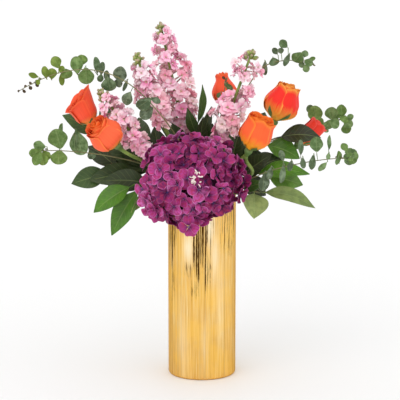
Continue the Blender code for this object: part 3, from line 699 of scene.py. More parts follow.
def hydrangea_look():
    """Veined magenta sepals, dark at their feet as painted shade, with a pale rim that is a painted
    highlight.
    """
    look = Look("hydrangea_petal", Specular_IOR_Level=0.25)
    across, lengthwise, tone = look.read("place")
    edge, _, _ = look.read("mark")
    lines = fine_lines(look, across, lengthwise, tone, 9.0, 1.4)
    patches = look.noise(260.0, look.object_place())
    hue = look.ramp(
        tone, (0.0, "#5C1250"), (0.25, "#962A74"), (0.55, "#BC3C8E"), (0.8, "#D056A8"), (1.0, "#E07CC4")
    )
    red = look.blend(look.times(look.ramp(patches, (0.46, 0.0), (0.60, 1.0)), 0.75), hue, "#B82C58")
    # painted shade: the sepals darken towards their feet in the floret's middle
    heart = look.blend(look.ramp(lengthwise, (0.04, 0.95), (0.30, 0.25), (0.48, 0.0)), red, "#46184E")
    veined = look.blend(look.times(look.ramp(lines, (0.40, 1.0), (0.60, 0.0)), 0.42), heart, "#5A0E42")
    # painted highlight along the sepals' rims, stronger on lighter tones
    rim = look.times(look.ramp(edge, (0.86, 0.0), (1.0, 1.0)), look.ramp(tone, (0.30, 0.12), (0.95, 0.60)))
    return look.finish(look.blend(rim, veined, "#E0A8DC"), lines, 0.42, 0.62, 1, 0.8)


def rose_look(name, heart, body, edge_colour, foot, flame):
    """Petals from heart to body by layer, with coloured edges and a foot that flames up."""
    look = Look(name + "_petal", Specular_IOR_Level=0.25)
    across, lengthwise, tone = look.read("place")
    edge, _, layer = look.read("mark")
    lines = fine_lines(look, across, lengthwise, tone, 14.0, 1.0)
    main = look.blend(layer, heart, body)
    toned = look.blend(look.times(tone, 0.20), main, heart)
    lit = look.blend(look.ramp(edge, (0.55 - 0.4 * flame, 0.0), (1.0, 0.95)), toned, edge_colour)
    rise = look.calc("ADD", lengthwise, look.times(look.calc("SUBTRACT", lines, 0.5), 0.9 * flame))
    flamed = look.ramp(rise, (0.03, 1.0), (0.16 + 0.1 * flame, 0.65), (0.34 + 0.3 * flame, 0.0))
    footed = look.blend(flamed, lit, foot)
    veined = look.blend(look.times(look.ramp(lines, (0.35, 1.0), (0.6, 0.0)), 0.16), footed, "#C23010")
    return look.finish(veined, lines, 0.42, 0.6, 0.5, 0.5)


def stock_look():
    """Pink petals that pale towards their tips, with a green throat."""
    look = Look("stock_petal", Specular_IOR_Level=0.2)
    across, lengthwise, tone = look.read("place")
    _, age, _ = look.read("mark")
    lines = fine_lines(look, across, lengthwise, tone, 7.0, 1.2)
    deep = look.ramp(tone, (0.0, "#F48CBE"), (0.35, "#FFAAD2"), (0.7, "#FFC8E0"), (1.0, "#FFDCEA"))
    pale = look.ramp(tone, (0.0, "#FFC8E0"), (0.5, "#FFE6F0"), (1.0, "#FFFAFA"))
    body = look.blend(look.ramp(lengthwise, (0.25, 0.0), (0.85, 1.0)), deep, pale)
    warm = look.blend(look.times(age, 0.8), body, look.ramp(tone, (0.0, "#FFB6B8"), (1.0, "#FFEEE6")))
    throat = look.blend(look.ramp(lengthwise, (0.03, 0.9), (0.22, 0.0)), warm, "#D4D48C")
    veined = look.blend(look.times(look.ramp(lines, (0.38, 1.0), (0.60, 0.0)), 0.20), throat, "#F078B4")
    return look.finish(veined, lines, 0.5, 0.7, 0.7, 0.7)


def green_look(name, young, old):
    """Stalks, buds and sepals: green with a fine drawn-out grain."""
    look = Look(name, Specular_IOR_Level=0.35)
    place = look.object_place()
    grain = look.noise(900.0, place, detail=4.0)
    patches = look.noise(60.0, place)
    colour = look.blend(look.ramp(patches, (0.35, 0.0), (0.65, 1.0)), young, old)
    return look.finish(colour, grain, 0.42, 0.62, 0.4, 0.5)


def bud_look():
    """The stocks' buds and calyxes: green with a pink tip, pinker with age near 1."""
    look = Look("stock_green", Specular_IOR_Level=0.35)
    _, lengthwise, tone = look.read("place")
    _, age, _ = look.read("mark")
    grain = look.noise(1200.0, look.object_place())
    green = look.ramp(tone, (0.0, "#7C9046"), (1.0, "#B4C070"))
    tipped = look.blend(look.ramp(lengthwise, (0.55, 0.0), (1.0, 0.75)), green, "#D4A4AA")
    pinked = look.blend(look.ramp(age, (0.5, 0.0), (0.9, 0.8)), tipped, "#E4B4C0")
    colour = look.blend(look.times(grain, 0.25), pinked, "#6A7A3E")
    return look.finish(colour, grain, 0.5, 0.7, 0.4, 0.5)


def side_veins(look, across, lengthwise, count, slant, width):
    """A midrib and slanting side veins, as 1 on a vein and 0 between."""
    spread = look.calc("ABSOLUTE", across)
    rib = look.ramp(spread, (0.0, 1.0), (0.08, 0.0))
    row = look.calc("SUBTRACT", look.times(lengthwise, count), look.times(spread, slant))
    off = look.calc("ABSOLUTE", look.calc("SUBTRACT", look.calc("FRACT", row), 0.5))
    return look.calc("MAXIMUM", rib, look.times(look.ramp(off, (0.0, 1.0), (width, 0.0)), 0.45))


def eucalyptus_look():
    """Grey-green leaves with a waxy bloom, yellower as age nears 0.85, and brown buds at 1."""
    look = Look("eucalyptus_leaf", Specular_IOR_Level=0.25)
    across, lengthwise, tone = look.read("place")
    edge, age, _ = look.read("mark")
    patches = look.noise(150.0, look.object_place(), detail=5.0)
    steps = (0.0, 0.25, 0.5, 0.85, 1.0)
    dark = look.ramp(age, *zip(steps, ("#3E4C34", "#46603A", "#54702F", "#6A7E24", "#40301E")))
    light = look.ramp(age, *zip(steps, ("#8A9A80", "#88A07A", "#86A45C", "#98A83C", "#6A4A34")))
    base = look.blend(look.calc("ADD", look.times(tone, 0.65), 0.1), dark, light)
    mottled = look.blend(look.ramp(patches, (0.38, 0.85), (0.56, 0.0)), base, dark)
    bloomed = look.blend(look.ramp(patches, (0.54, 0.0), (0.70, 0.6)), mottled, light)
    veins = side_veins(look, across, lengthwise, 6.0, 2.2, 0.10)
    lined = look.blend(look.times(veins, 0.22), bloomed, "#B4C08C")
    colour = look.blend(look.ramp(edge, (0.90, 0.0), (1.0, 0.35)), lined, "#6E6E44")
    return look.finish(colour, patches, 0.52, 0.7, 0.3, 0.5, veins)


def salal_look():
    """Glossy broad leaves: dark when old, bright green when fresh, with a pale midrib and side veins."""
    look = Look("salal_leaf", Specular_IOR_Level=0.4)
    across, lengthwise, tone = look.read("place")
    _, age, _ = look.read("mark")
    patches = look.noise(90.0, look.object_place(), detail=5.0)
    base = look.ramp(age, (0.0, "#2A2A15"), (0.2, "#34401F"), (0.5, "#466A28"), (0.72, "#548C0A"),
                     (0.85, "#6F8E40"), (1.0, "#98A760"))
    shaded = look.blend(look.times(tone, 0.25), base, "#27381A")
    mottled = look.blend(look.times(look.ramp(patches, (0.38, 1.0), (0.60, 0.0)), 0.38), shaded, "#2C4419")
    veins = side_veins(look, across, lengthwise, 8.0, 1.7, 0.08)
    colour = look.blend(look.times(veins, 0.30), mottled, "#A3B870")
    height = look.calc("SUBTRACT", look.times(patches, 0.4), veins)
    return look.finish(colour, patches, 0.34, 0.52, 0.6, 0.6, height)


def gold_look():
    """Gold lustre over upright ribs, dark brown in painted shade and reflection, pale in painted highlights.
    """
    look = Look("gold_lustre", Metallic=1.0)
    rib, painted_shade, pale = look.read("place")
    around = look.node("ShaderNodeSeparateXYZ", {0: look.object_place()})

    def drawn(across, up, detail):
        return look.noise(1.0, look.vector(
            look.times(around.outputs[0], across),
            look.times(around.outputs[1], across),
            look.times(around.outputs[2], up),
        ), detail=detail)

    streak = drawn(1100.0, 16.0, 5.0)
    wide = drawn(150.0, 8.0, 3.0)
    cloud = look.noise(26.0, look.object_place())
    gold = look.ramp(streak, (0.30, "#D69E4A"), (0.48, "#F5C46C"), (0.66, "#FFE6A6"))
    toned = look.blend(look.ramp(wide, (0.35, 0.50), (0.58, 0.0)), gold, "#DFA848")
    warmed = look.blend(look.ramp(cloud, (0.42, 0.0), (0.62, 0.45)), toned, "#FFCB5A")
    ribbed = look.blend(look.ramp(rib, (0.15, 0.35), (0.5, 0.0)), warmed, "#B88A44")
    # painted highlight in the pale patches
    lit = look.blend(look.times(pale, look.ramp(streak, (0.3, 0.55), (0.6, 1.0))), ribbed, "#FFF0CC")
    # where the painted shade and reflection is strong, broken up by the grain and fine flecks, the lustre
    # turns dark brown
    grain = look.times(look.calc("SUBTRACT", 0.5, streak), 2.8)
    flecks = look.calc("SUBTRACT", 0.5, drawn(800.0, 120.0, 3.0))
    grain = look.calc("ADD", grain, flecks)
    broken = look.ramp(look.calc("ADD", painted_shade, grain), (0.42, 0.0), (0.74, 0.75), (1.05, 1.0))
    masked = look.times(broken, look.ramp(painted_shade, (0.06, 0.0), (0.30, 1.0)))
    look.put("Specular Tint", "#CFC4B4")
    return look.finish(look.blend(masked, lit, "#46290A"), streak, 0.42, 0.28, 0.4, 0.5)


def painted_shade_look(name, colour, lighter):
    """A dull dark heart with lighter spots, painted shade deep inside a flower head."""
    look = Look(name, Specular_IOR_Level=0.2)
    spots = look.noise(300.0, look.object_place(), detail=5.0)
    colour = look.blend(look.ramp(spots, (0.4, 0.0), (0.7, 1.0)), colour, lighter)
    return look.finish(colour, spots, 0.7, 0.9, 2, 0.8)


# ---- pieces ----
def stem(name, points, radii, look, replaces=()):
    """A round stem as a bevelled curve with a radius at each point."""
    curve = bpy.data.curves.new(name, "CURVE")
    curve.dimensions = "3D"
    curve.bevel_depth = 1.0
    curve.bevel_resolution = 3
    curve.use_fill_caps = True
    spline = curve.splines.new("POLY")
    spline.points.add(len(points) - 1)
    for spot, place, radius in zip(spline.points, points, radii):
        spot.co = (*place, 1)
        spot.radius = radius
    curve.materials.append(look)
    return own(placed(name, curve), replaces)


def lustre_shade_and_highlights(angles, heights):
    """Painted shade and painted highlight on the lustre, by height and by angle round the vase."""
    rng = np.random.default_rng(8)
    streaks = list(STREAKS)
    for _ in range(BACK_STREAKS):
        ranges = ((64, 292), (0.8, 2.4), (125, 215), (0.3, 0.9))
        streaks.append([rng.uniform(*bounds) for bounds in ranges])
    front = np.degrees(angles)[None, :] + 90
    up = heights[:, None]

    def away(middle):
        return (front - middle + 180) % 360 - 180

    def patch(middle, width, high, tall, strength):
        spread = np.exp(-(away(middle) / width) ** 2)
        return strength * spread * np.exp(-((up - high * MM) / (tall * MM)) ** 2)

    painted_shade = np.zeros((len(heights), len(angles)))
    # each streak is painted reflection and painted shade, fading out downwards
    for middle, width, low, dark in streaks:
        spread = np.exp(-(away(middle) / width) ** 4)
        painted_shade = np.maximum(painted_shade, dark * spread * smooth((up - low * MM) / STREAK_FADE))
    # patches of painted shade
    for row in PAINTED_SHADE_PATCHES:
        painted_shade = np.maximum(painted_shade, patch(*row))
    # patches of painted highlight
    pale = np.zeros_like(painted_shade)
    for row in PAINTED_HIGHLIGHT_PATCHES:
        pale = np.maximum(pale, patch(*row))
    return painted_shade, pale


def build_vase():
    """The vase's wall with upright ribs of uneven width and depth on its outside."""
    rng = np.random.default_rng(5)
    around, rings = VASE_AROUND, VASE_RINGS
    angles = np.linspace(0, 2 * math.pi, around, endpoint=False)
    rough = rng.normal(size=around)
    for reach in (1, 1, 2):
        rough = (np.roll(rough, reach) + rough * 2 + np.roll(rough, -reach)) / 4
    rough /= np.abs(rough).max()
    # depth that fades in and out along each rib
    fade = np.zeros((rings, around))
    for _ in range(30):
        middle, width = rng.uniform(0, 2 * math.pi), rng.uniform(0.03, 0.25)
        high, tall = rng.uniform(0, 1), rng.uniform(0.15, 0.5)
        ring = np.linspace(0, 1, rings)[:, None]
        gap = np.angle(np.exp(1j * (angles - middle)))[None, :]
        fade += rng.uniform(-0.5, 0.5) * np.exp(-(gap / width) ** 2) * np.exp(-((ring - high) / tall) ** 2)

    inner = VASE_RADIUS - VASE_WALL
    profile = [(inner * 0.5, VASE_FLOOR), (inner, VASE_FLOOR), (inner, VASE_HEIGHT - VASE_RIM_ROUND)]
    lip = VASE_RADIUS - VASE_WALL / 2
    for i in range(1, 6):
        angle = math.pi * (1 - i / 6)
        profile.append((lip + VASE_WALL / 2 * math.cos(angle),
                        VASE_HEIGHT - VASE_RIM_ROUND + VASE_RIM_ROUND * math.sin(angle)))
    outer_from = len(profile)
    for i in range(rings):
        z = VASE_HEIGHT - VASE_RIM_ROUND + (VASE_FOOT_ROUND - VASE_HEIGHT + VASE_RIM_ROUND) * i / (rings - 1)
        profile.append((VASE_RADIUS, z))
    outer_to = len(profile)
    for i in range(1, 6):
        angle = math.pi / 2 * i / 5
        profile.append((VASE_RADIUS - VASE_FOOT_ROUND * (1 - math.cos(angle)),
                        VASE_FOOT_ROUND * (1 - math.sin(angle))))
    profile.append((inner * 0.5, 0))

    painted_shade, pale = lustre_shade_and_highlights(angles, np.array([z for _, z in profile[outer_from:outer_to]]))
    rows = []
    marks = []
    for k, (radius, z) in enumerate(profile):
        depth = np.zeros(around)
        mark = np.zeros((around, 3)) + (0.5, 0, 0)
        if outer_from <= k < outer_to:
            ring = k - outer_from
            ends = min(1, ring / 2, (outer_to - 1 - k) / 2)
            depth = (rough * (0.8 + fade[ring]) * RIB_DEPTH + 0.05 * fade[ring]) * MM * ends
            mark = np.stack([0.5 + 0.5 * rough, painted_shade[ring], pale[ring]], axis=1)
        rows.append(np.stack([(radius + depth) * np.cos(angles), (radius + depth) * np.sin(angles),
                              np.full(around, z)], axis=1))
        marks.append(mark)
    points = np.concatenate(rows)
    count = len(profile)
    corner = np.arange(around)
    after = (corner + 1) % around
    faces = []
    for k in range(count - 1):
        low, high = k * around, (k + 1) * around
        faces += np.stack([low + corner, low + after, high + after, high + corner], axis=1).tolist()
    floor_centre, under_centre = len(points), len(points) + 1
    points = np.concatenate([points, [[0, 0, VASE_FLOOR], [0, 0, 0]]])
    last = (count - 1) * around
    faces += [(floor_centre, int(b), int(a)) for a, b in zip(corner, after)]
    faces += [(under_centre, int(last + a), int(last + b)) for a, b in zip(corner, after)]
    mesh = bpy.data.meshes.new("vase_lustre")
    mesh.from_pydata(points.tolist(), [], faces)
    made = mesh.attributes.new("place", "FLOAT_VECTOR", "POINT")
    marks.append(np.zeros((2, 3)))
    # painted contact shadow on the foot's lowest rows
    for row in range(outer_to + 3, count):
        marks[row][:, 1] = FOOT_CONTACT_SHADOW
    made.data.foreach_set("vector", np.concatenate(marks).astype(np.float32).ravel())
    mesh.materials.append(gold_look())
    fixed = bmesh.new()
    fixed.from_mesh(mesh)
    bmesh.ops.recalc_face_normals(fixed, faces=fixed.faces)
    fixed.to_mesh(mesh)
    fixed.free()
    mesh.shade_smooth()
    mesh.set_sharp_from_angle(angle=math.radians(50))
    own(placed("vase_lustre", mesh), ["vase"])


def hydrangea_lump(x, y, z):
    """How far the head reaches in a direction, as a share of its half sizes."""
    reach = 1 - 0.035 * (1 - np.cos(6 * np.arctan2(y, x) + 4 * z) * np.cos(7 * z))
    for middle, spread, swell in HYDRANGEA_SWELLS:
        off = (np.degrees(np.arctan2(z, x)) - middle + 180) % 360 - 180
        reach = reach + swell * np.exp(-(off / spread) ** 2) * (1 - y * y)
    return reach


def build_hydrangea(greens):
    """A dome of four-petalled florets on thin stalks over a dark heart, painted shade deep in the head."""
    rng = random.Random(11)
    sepals, eyes, stalks, core = Batch(), Batch(), Batch(), Batch()
    spots = []
    for i in range(HYDRANGEA_FLORETS):
        z = 1 - 2 * (i + 0.5) / HYDRANGEA_FLORETS
        turn = math.radians(GOLDEN_ANGLE * i)
        flat = math.sqrt(1 - z * z)
        way = Vector((flat * math.cos(turn), flat * math.sin(turn), z))
        way = (way + strayed(rng, 1, 1, 1) * 0.045).normalized()
        depth = hydrangea_lump(*way) * rng.choice(HYDRANGEA_DEPTHS)
        depth *= 0.975 - 0.07 * smooth((-way.z - 0.3) / 0.5)
        place = HYDRANGEA_CENTRE + Vector([w * h * depth for w, h in zip(way, HYDRANGEA_HALF)])
        out = Vector([w / h for w, h in zip(way, HYDRANGEA_HALF)]).normalized()
        off_axis = Vector((place.x, place.y)).length
        in_vase = off_axis < VASE_RADIUS + 7 * MM and place.z < VASE_HEIGHT + 10 * MM
        behind = way.y > 0.82
        if in_vase or behind:
            continue
        spots.append((place, out, way.z, depth, 0.62))
    for spot in HANGING_FLORETS:
        place = Vector(spot) * MM
        out = Vector([w / h for w, h in zip(place - HYDRANGEA_CENTRE, HYDRANGEA_HALF)]).normalized()
        spots.append((place, (out + Vector((0, -1, 0))).normalized(), -0.3, 0.94, 0.25))
    for place, out, high, depth, sway in spots:
        lean = strayed(rng, 1, 1, 1) * sway
        normal = (out + lean).normalized()
        size = rng.uniform(14.0, 18.5) * MM
        floret = shift(*place) @ facing(normal) @ spin(rng.uniform(0, 90))
        # deeper-set florets take darker tones, painted shade in the head's hollows, and higher ones slightly
        # lighter tones, painted light from above
        tone = min(1, max(0, rng.gauss(0.60, 0.27) + 0.08 * high - 1.6 * max(0, 0.94 - depth)))
        shut = rng.choice((0, 0, 0, 6, 14, 34))
        for k in range(4):
            tilt = shut + rng.uniform(0, 26)
            sepal = floret @ spin(90 * k + rng.uniform(-11, 11)) @ shift(y=0.8 * MM, z=(k % 2) * 0.7 * MM)
            add_petal(
                sepals, sepal @ spin(tilt, "X"),
                size * rng.uniform(0.88, 1.12), size * rng.uniform(0.84, 1.04),
                tone=min(1, max(0, tone + rng.uniform(-0.16, 0.16))), rows=8, cols=8, waist=0.26,
                cup=rng.uniform(-0.20, 0.26), curl=rng.uniform(-0.4, 1.4), ruffle=rng.uniform(0.02, 0.09),
                waves=rng.choice((3, 4, 5)), phase=rng.uniform(0, 6), notch=rng.uniform(0, 0.07),
                fold=rng.choice((0.0, 0.0, 0.12, 0.26)),
            )
        eyes.lump(SPHERE, floret @ shift(z=1.2 * MM) @ Matrix.Scale(1.15 * MM, 4), tone=rng.random())
        inward = HYDRANGEA_CENTRE + Vector((0, 10, -15)) * MM - place
        stalk = shift(*place) @ facing(inward) @ stretched(1.1 * MM, 1.1 * MM, inward.length * 0.55)
        stalks.lump(TUBE, stalk, tone=rng.random())
    # a few tiny unopened buds in a gap near the middle
    for _ in range(CREAM_BUDS):
        place = Vector((-11 + rng.gauss(0, 5), -124 + rng.uniform(-2, 2), 321 + rng.gauss(0, 5.5))) * MM
        long = stretched(*(rng.uniform(*bounds) * MM for bounds in ((0.7, 1.3), (0.7, 1.3), (1.5, 3.2))))
        eyes.lump(SPHERE, shift(*place) @ spin(rng.uniform(0, 180), "Y") @ long, tone=1.0, age=1.0)

    points, faces = sphere_template(4)
    lumps = np.sin(9 * points[:, :1] + 3) * np.sin(11 * points[:, 1:2]) * np.sin(10 * points[:, 2:])
    lumpy = points * (1 + 0.05 * lumps)
    size = np.array([h * HYDRANGEA_CORE for h in HYDRANGEA_HALF])
    swollen = hydrangea_lump(points[:, 0], points[:, 1], points[:, 2])[:, None]
    shaped = lumpy * swollen * size + np.array(HYDRANGEA_CENTRE)
    gap = VASE_RADIUS + 3 * MM
    flat = np.hypot(shaped[:, 0], shaped[:, 1])
    low = (shaped[:, 2] < VASE_HEIGHT + 3 * MM) & (flat < gap)
    shaped[low, :2] *= (gap / flat[low])[:, None]
    core.add(shaped, faces, Matrix.Identity(4), points[:, 0], points[:, 1], points[:, 2])

    crown = ["hydrangea_crown", "hydrangea_hanging"]
    sepals.build("hydrangea_florets", hydrangea_look(), "hydrangea_petal", 0.35 * MM, crown)
    eyes.build("hydrangea_eyes", eye_look(), "hydrangea_petal")
    stalks.build("hydrangea_stalks", greens, "stem")
    # the dark heart stands in for the shade deep inside the head: painted shade
    core.build("hydrangea_shade_core", painted_shade_look("hydrangea_shade", "#2A0C26", "#4C183C"), "hydrangea_petal")

    end = HYDRANGEA_CENTRE + Vector((2, 4, 4)) * MM
    mouth = Vector((HYDRANGEA_STEM_SLOT.x, HYDRANGEA_STEM_SLOT.y, VASE_HEIGHT))
    foot = Vector((mouth.x, mouth.y + 1 * MM, FOOT_Z))
    path = [foot, mouth] + bend(mouth, Vector((0, 0, 1)) * 30 * MM, end, Vector((0, -1, 0.6)) * 30 * MM, 16)
    stem("hydrangea_stalk", path, [HYDRANGEA_STEM_RADIUS] * len(path), greens, ["hydrangea_stem"])


def eye_look():
    """Violet floret eyes, and cream unopened buds with age near 1."""
    look = Look("hydrangea_eye", Specular_IOR_Level=0.3)
    _, _, tone = look.read("place")
    _, age, _ = look.read("mark")
    grain = look.noise(1500.0, look.object_place())
    violet = look.ramp(tone, (0.0, "#3E2A70"), (1.0, "#6A58A0"))
    colour = look.blend(look.ramp(age, (0.6, 0.0), (0.9, 1.0)), violet, "#F2E6DC")
    return look.finish(colour, grain, 0.45, 0.65, 0.3, 0.5)


# how far up a rose's bowl is widest
BELLY_SHARE = 0.46


def rose_petal(middle, half_angle, foot_radius, belly, lip, height, flare, lean, rng, rows=15, cols=17):
    """A petal wrapped round a rose's axis, with one edge inside its neighbour and a rolled lip."""
    v, u = np.meshgrid(np.linspace(0, 1, rows) ** 0.9, np.linspace(-1, 1, cols), indexing="ij")
    crown = 1 - 0.16 * np.abs(u) ** 2.6 + 0.035 * np.exp(-(u / 0.3) ** 2)
    crown += 0.014 * np.sin(u * rng.uniform(4, 7) + rng.uniform(0, 6))
    swell = np.sin(math.pi / 2 * np.clip(v / BELLY_SHARE, 0, 1)) ** 0.75
    close = smooth((v - BELLY_SHARE) / 0.54)
    radius = foot_radius + (belly - foot_radius) * swell + (lip - belly) * close
    radius += lean * u * smooth(v / 0.3)
    roll = smooth((v - 0.80) / 0.20)
    ruffle = 1 + 0.35 * np.sin(u * rng.uniform(3, 6) + rng.uniform(0, 6))
    point = np.exp(-(u / 0.65) ** 2)
    radius += flare * roll * ruffle * point
    z = height * v * crown - flare * 0.35 * roll**2 * ruffle * point
    open_width = 0.30 + 0.70 * smooth(v / 0.35)
    angle = middle + half_angle * u * open_width
    points = np.stack([radius * np.cos(angle), radius * np.sin(angle), z], axis=2)
    edge = np.maximum(np.abs(u) ** 5, v**8)
    return points, u, v, edge


# how long the sepals of a rose are against a full one, 0.6 for the others
SEPAL_SHARE = {"rose_right_high": 1.0, "rose_left_high": 0.45}

# petals in each ring of a rose, and how far out the ring is
ROSE_RINGS = ((1, 0.10), (2, 0.24), (3, 0.40), (3, 0.56), (4, 0.72), (4, 0.87), (5, 1.0))


def build_rose(name, row, slot, foot, direction, radius, height, greens):
    """Rings of petals round the bloom's axis, five sepals, the hip and the stem."""
    belly_share, mouth_share, flare, dome, *colours, slope, stretch = ROSE_STYLES[name]
    rng = random.Random(name)
    end = Vector(foot) * MM
    axis = Vector(direction).normalized()
    radius *= MM
    height *= MM * stretch
    turn = shift(*end) @ facing(axis)
    petals = Batch()
    for number, out in ROSE_RINGS:
        first = rng.uniform(0, 2 * math.pi)
        tall = 0.95 + 0.12 * dome * (0.5 - out)
        for k in range(number):
            belly = radius * (0.06 + belly_share * 0.92 * out**0.8)
            lip = radius * (0.02 + mouth_share * 0.96 * out)
            half_angle = min(math.radians(165), math.pi / number * 1.45)
            grid, across, lengthwise, edge = rose_petal(
                first + 2 * math.pi * k / number + rng.uniform(-0.12, 0.12), half_angle,
                (1.5 + 3.2 * out) * MM, belly, lip, height * (tall + rng.uniform(-0.02, 0.02)),
                flare * MM * (0.15 + 0.85 * out**2), (0.5 + 0.7 * out) * MM, rng,
            )
            grid[..., 2] *= 1 + slope * grid[..., 1] / radius
            petals.add(grid, grid_faces(*grid.shape[:2]), turn @ shift(z=1.5 * MM), across, lengthwise, edge,
                       tone=rng.random(), layer=smooth(out * 1.1))
    petals.build(name + "_petals", rose_look(name, *colours), "rose_petal", 0.4 * MM,
                 [name + "_outer_petals", name + "_heart"])

    sepals = Batch()
    for k in range(5):
        length = rng.uniform(24, 32) * SEPAL_SHARE.get(name, 0.6) * MM
        grid, across, lengthwise, edge = pointed_leaf(length, 8.5 * MM, 0.0, rng, rows=13, cols=5)
        grid = hug(grid, 4.7 * MM, radius * (0.06 + belly_share * 0.92), height, rng.uniform(0.0, 0.5))
        place = turn @ spin(72 * k + 58 + rng.uniform(-6, 6))
        sepals.add(grid, grid_faces(13, 5), place, across, lengthwise, edge, tone=rng.random(), age=0.55)
    rings = ((-11, 2.6), (-9, 2.9), (-6.5, 4.6), (-3.5, 6.0), (-1.0, 6.0), (0.8, 4.4), (1.2, 3.0))
    points, faces = tube_template(16, rings)
    across, up = points[:, 0], points[:, 2] / 12 + 1
    sepals.add(points * MM, faces, turn, across, up, across, tone=0.4, age=0.6)
    sepals.build(name + "_sepals", sepal_look(), "stem", None, [name + "_calyx"])

    neck = end - axis * 9 * MM
    path = stem_path(name, row, slot, neck, axis)
    radii = [ROSE_STEM_RADIUS * (1 + 0.05 * math.sin(1.7 * i)) for i in range(len(path))]
    stem(name + "_stalk", path, radii, greens, [name + "_stem"])


def hug(grid, foot_radius, belly, height, stray):
    """Lays a flat leaf up the bowl of a bloom, its tip straying outwards."""
    v = np.linspace(0, 0.7, 60)
    swell = np.sin(math.pi / 2 * np.clip(v / BELLY_SHARE, 0, 1)) ** 0.75
    reach = foot_radius + (belly - foot_radius) * swell
    rise = height * v + 1.5 * MM
    run = np.concatenate([[0], np.cumsum(np.hypot(np.diff(reach), np.diff(rise)))])
    out = np.interp(grid[..., 1], run, reach)
    tall = np.interp(grid[..., 1], run, rise)
    free = stray * 8 * MM * smooth(grid[..., 1] / (26 * MM)) + 1.0 * MM
    return np.stack([grid[..., 0], out + free - grid[..., 0] ** 2 / (2 * belly), tall], axis=2)


def sepal_look():
    """The one material that all the roses' sepals share."""
    found = bpy.data.materials.get("sepal")
    if found:
        return found
    look = Look("sepal", Specular_IOR_Level=0.35)
    across, lengthwise, tone = look.read("place")
    lines = fine_lines(look, across, lengthwise, tone, 6.0, 1.5)
    green = look.ramp(lengthwise, (0.0, "#6C8A3C"), (0.6, "#58783A"), (1.0, "#7C9458"))
    colour = look.blend(look.ramp(lines, (0.4, 0.5), (0.6, 0.0)), green, "#3E5A26")
    return look.finish(colour, lines, 0.5, 0.65, 0.5, 0.6)


def build_stock(name, row, slot, base, tip, radius, spike, greens, petal_look, calyx_look):
    """Ruffled double florets in a spiral up the stem, smaller and then in bud towards the tip."""
    rng = random.Random(name)
    low = Vector(base) * MM
    high = Vector(tip) * MM
    axis = (high - low).normalized()
    length = (high - low).length
    frame_turn = facing(axis)
    petals, green = Batch(), Batch()
    clad = length + FLORET_SKIRT
    count = int(clad / FLORET_STEP)
    spots = [((i + 0.3) / count * clad - FLORET_SKIRT, GOLDEN_ANGLE * i, None) for i in range(count)]
    if spike is OPEN_SPIKE:
        stretch_from, stretch_to = OPEN_STRETCH
        spots = [spot for spot in spots if spot[0] < stretch_from * length or spot[0] > stretch_to * length]
        spots += [(share * length, turn, reach * MM) for share, turn, reach in OPEN_FLORETS]
    for spot, angle, set_reach in spots:
        share = max(0.0, spot / length)
        out = (frame_turn @ spin(angle + rng.uniform(-16, 16))) @ Vector((1, 0, 0))
        wide = profile_at(spike, share) * radius * MM
        small = 1 - 0.38 * smooth((share - 0.3) / 0.65)
        open_bloom = share < OPEN_SHARE.get(name, 0.80) + rng.uniform(-0.07, 0.05)
        reach = max(4 * MM, (wide - (5.5 if open_bloom else 6.0) * small * MM) * rng.uniform(0.62, 1.04))
        if set_reach is not None:
            reach = set_reach
        rise = spot + wide * 0.15 + rng.uniform(-3, 3) * MM - 5 * MM * smooth((share - 0.8) / 0.2)
        place = low + axis * rise + out * reach
        lean = strayed(rng, 0.6, 0.6, 0.4)
        normal = (out + axis * rng.uniform(0.05, 0.8) + lean).normalized()
        floret = shift(*place) @ facing(normal, axis) @ spin(rng.uniform(0, 90))
        back = low + axis * (spot - wide * 0.15) - place
        thick = 1.6 * MM * small
        tube = shift(*place) @ facing(back, axis) @ stretched(thick, thick, back.length)
        green.lump(TUBE, tube, tone=rng.random(), age=1.0 if open_bloom else 0.3)
        if not open_bloom:
            bud = shift(*place) @ facing(normal, axis)
            tall = rng.uniform(4.6, 6.4) * (1.25 - 0.35 * share)
            plump = (3.0 * small + 0.8) * MM
            green.lump(SPHERE, bud @ stretched(plump, plump, tall * MM), tone=rng.random(), age=0.2)
            continue
        size = rng.uniform(12.0, 15.5) * MM * small
        tone = min(1, max(0, rng.gauss(0.5, 0.28)))
        pale = rng.random() * (1 - 0.6 * share)
        shut = rng.choice((0, 0, 6, 16, 30))
        for ring, (number, reach_share, lift) in enumerate(((5, 1.0, 2), (4, 0.72, 28))):
            for k in range(number):
                way = floret @ spin(360 / number * k + 45 * ring + rng.uniform(-22, 22)) @ shift(y=0.6 * MM)
                add_petal(
                    petals, way @ spin(lift + shut + rng.uniform(-14, 16), "X"),
                    size * rng.uniform(0.66, 0.92) * (0.6 + 0.4 * reach_share),
                    size * reach_share * rng.uniform(0.86, 1.12),
                    tone=min(1, max(0, tone + rng.uniform(-0.28, 0.28))),
                    age=pale, layer=ring / 2, waist=0.16,
                    cup=rng.uniform(-0.20, 0.22),
                    curl=rng.uniform(-0.3, 1.4), ruffle=rng.uniform(0.04, 0.11), waves=rng.choice((3, 4, 5)),
                    phase=rng.uniform(0, 6), notch=rng.uniform(0.0, 0.24),
                )
    # the closed tip
    for i in range(7):
        out = (frame_turn @ spin(GOLDEN_ANGLE * i)) @ Vector((1, 0, 0))
        place = high + axis * (-3.0 - 1.8 * i) * MM + out * (1.6 + 0.8 * i) * MM
        bud = shift(*place) @ facing(axis + out * 0.5, axis) @ stretched(2.3 * MM, 2.3 * MM, 4.0 * MM)
        green.lump(SPHERE, bud, tone=rng.random(), age=0.2)
    petals.build(name + "_blooms", petal_look, "stock_petal", 0.3 * MM, [name + "_florets"])
    green.build(name + "_buds", calyx_look, "stem")
    path = stem_path(name, row, slot, low, axis) + [low.lerp(high, t) for t in (0.25, 0.5, 0.75, 1.0)]
    radii = [STOCK_STEM_RADIUS] * (len(path) - 4) + [2.6 * MM, 2.3 * MM, 2.0 * MM, 1.4 * MM]
    stem(name + "_stalk", path, radii, greens, [name + "_stem"])


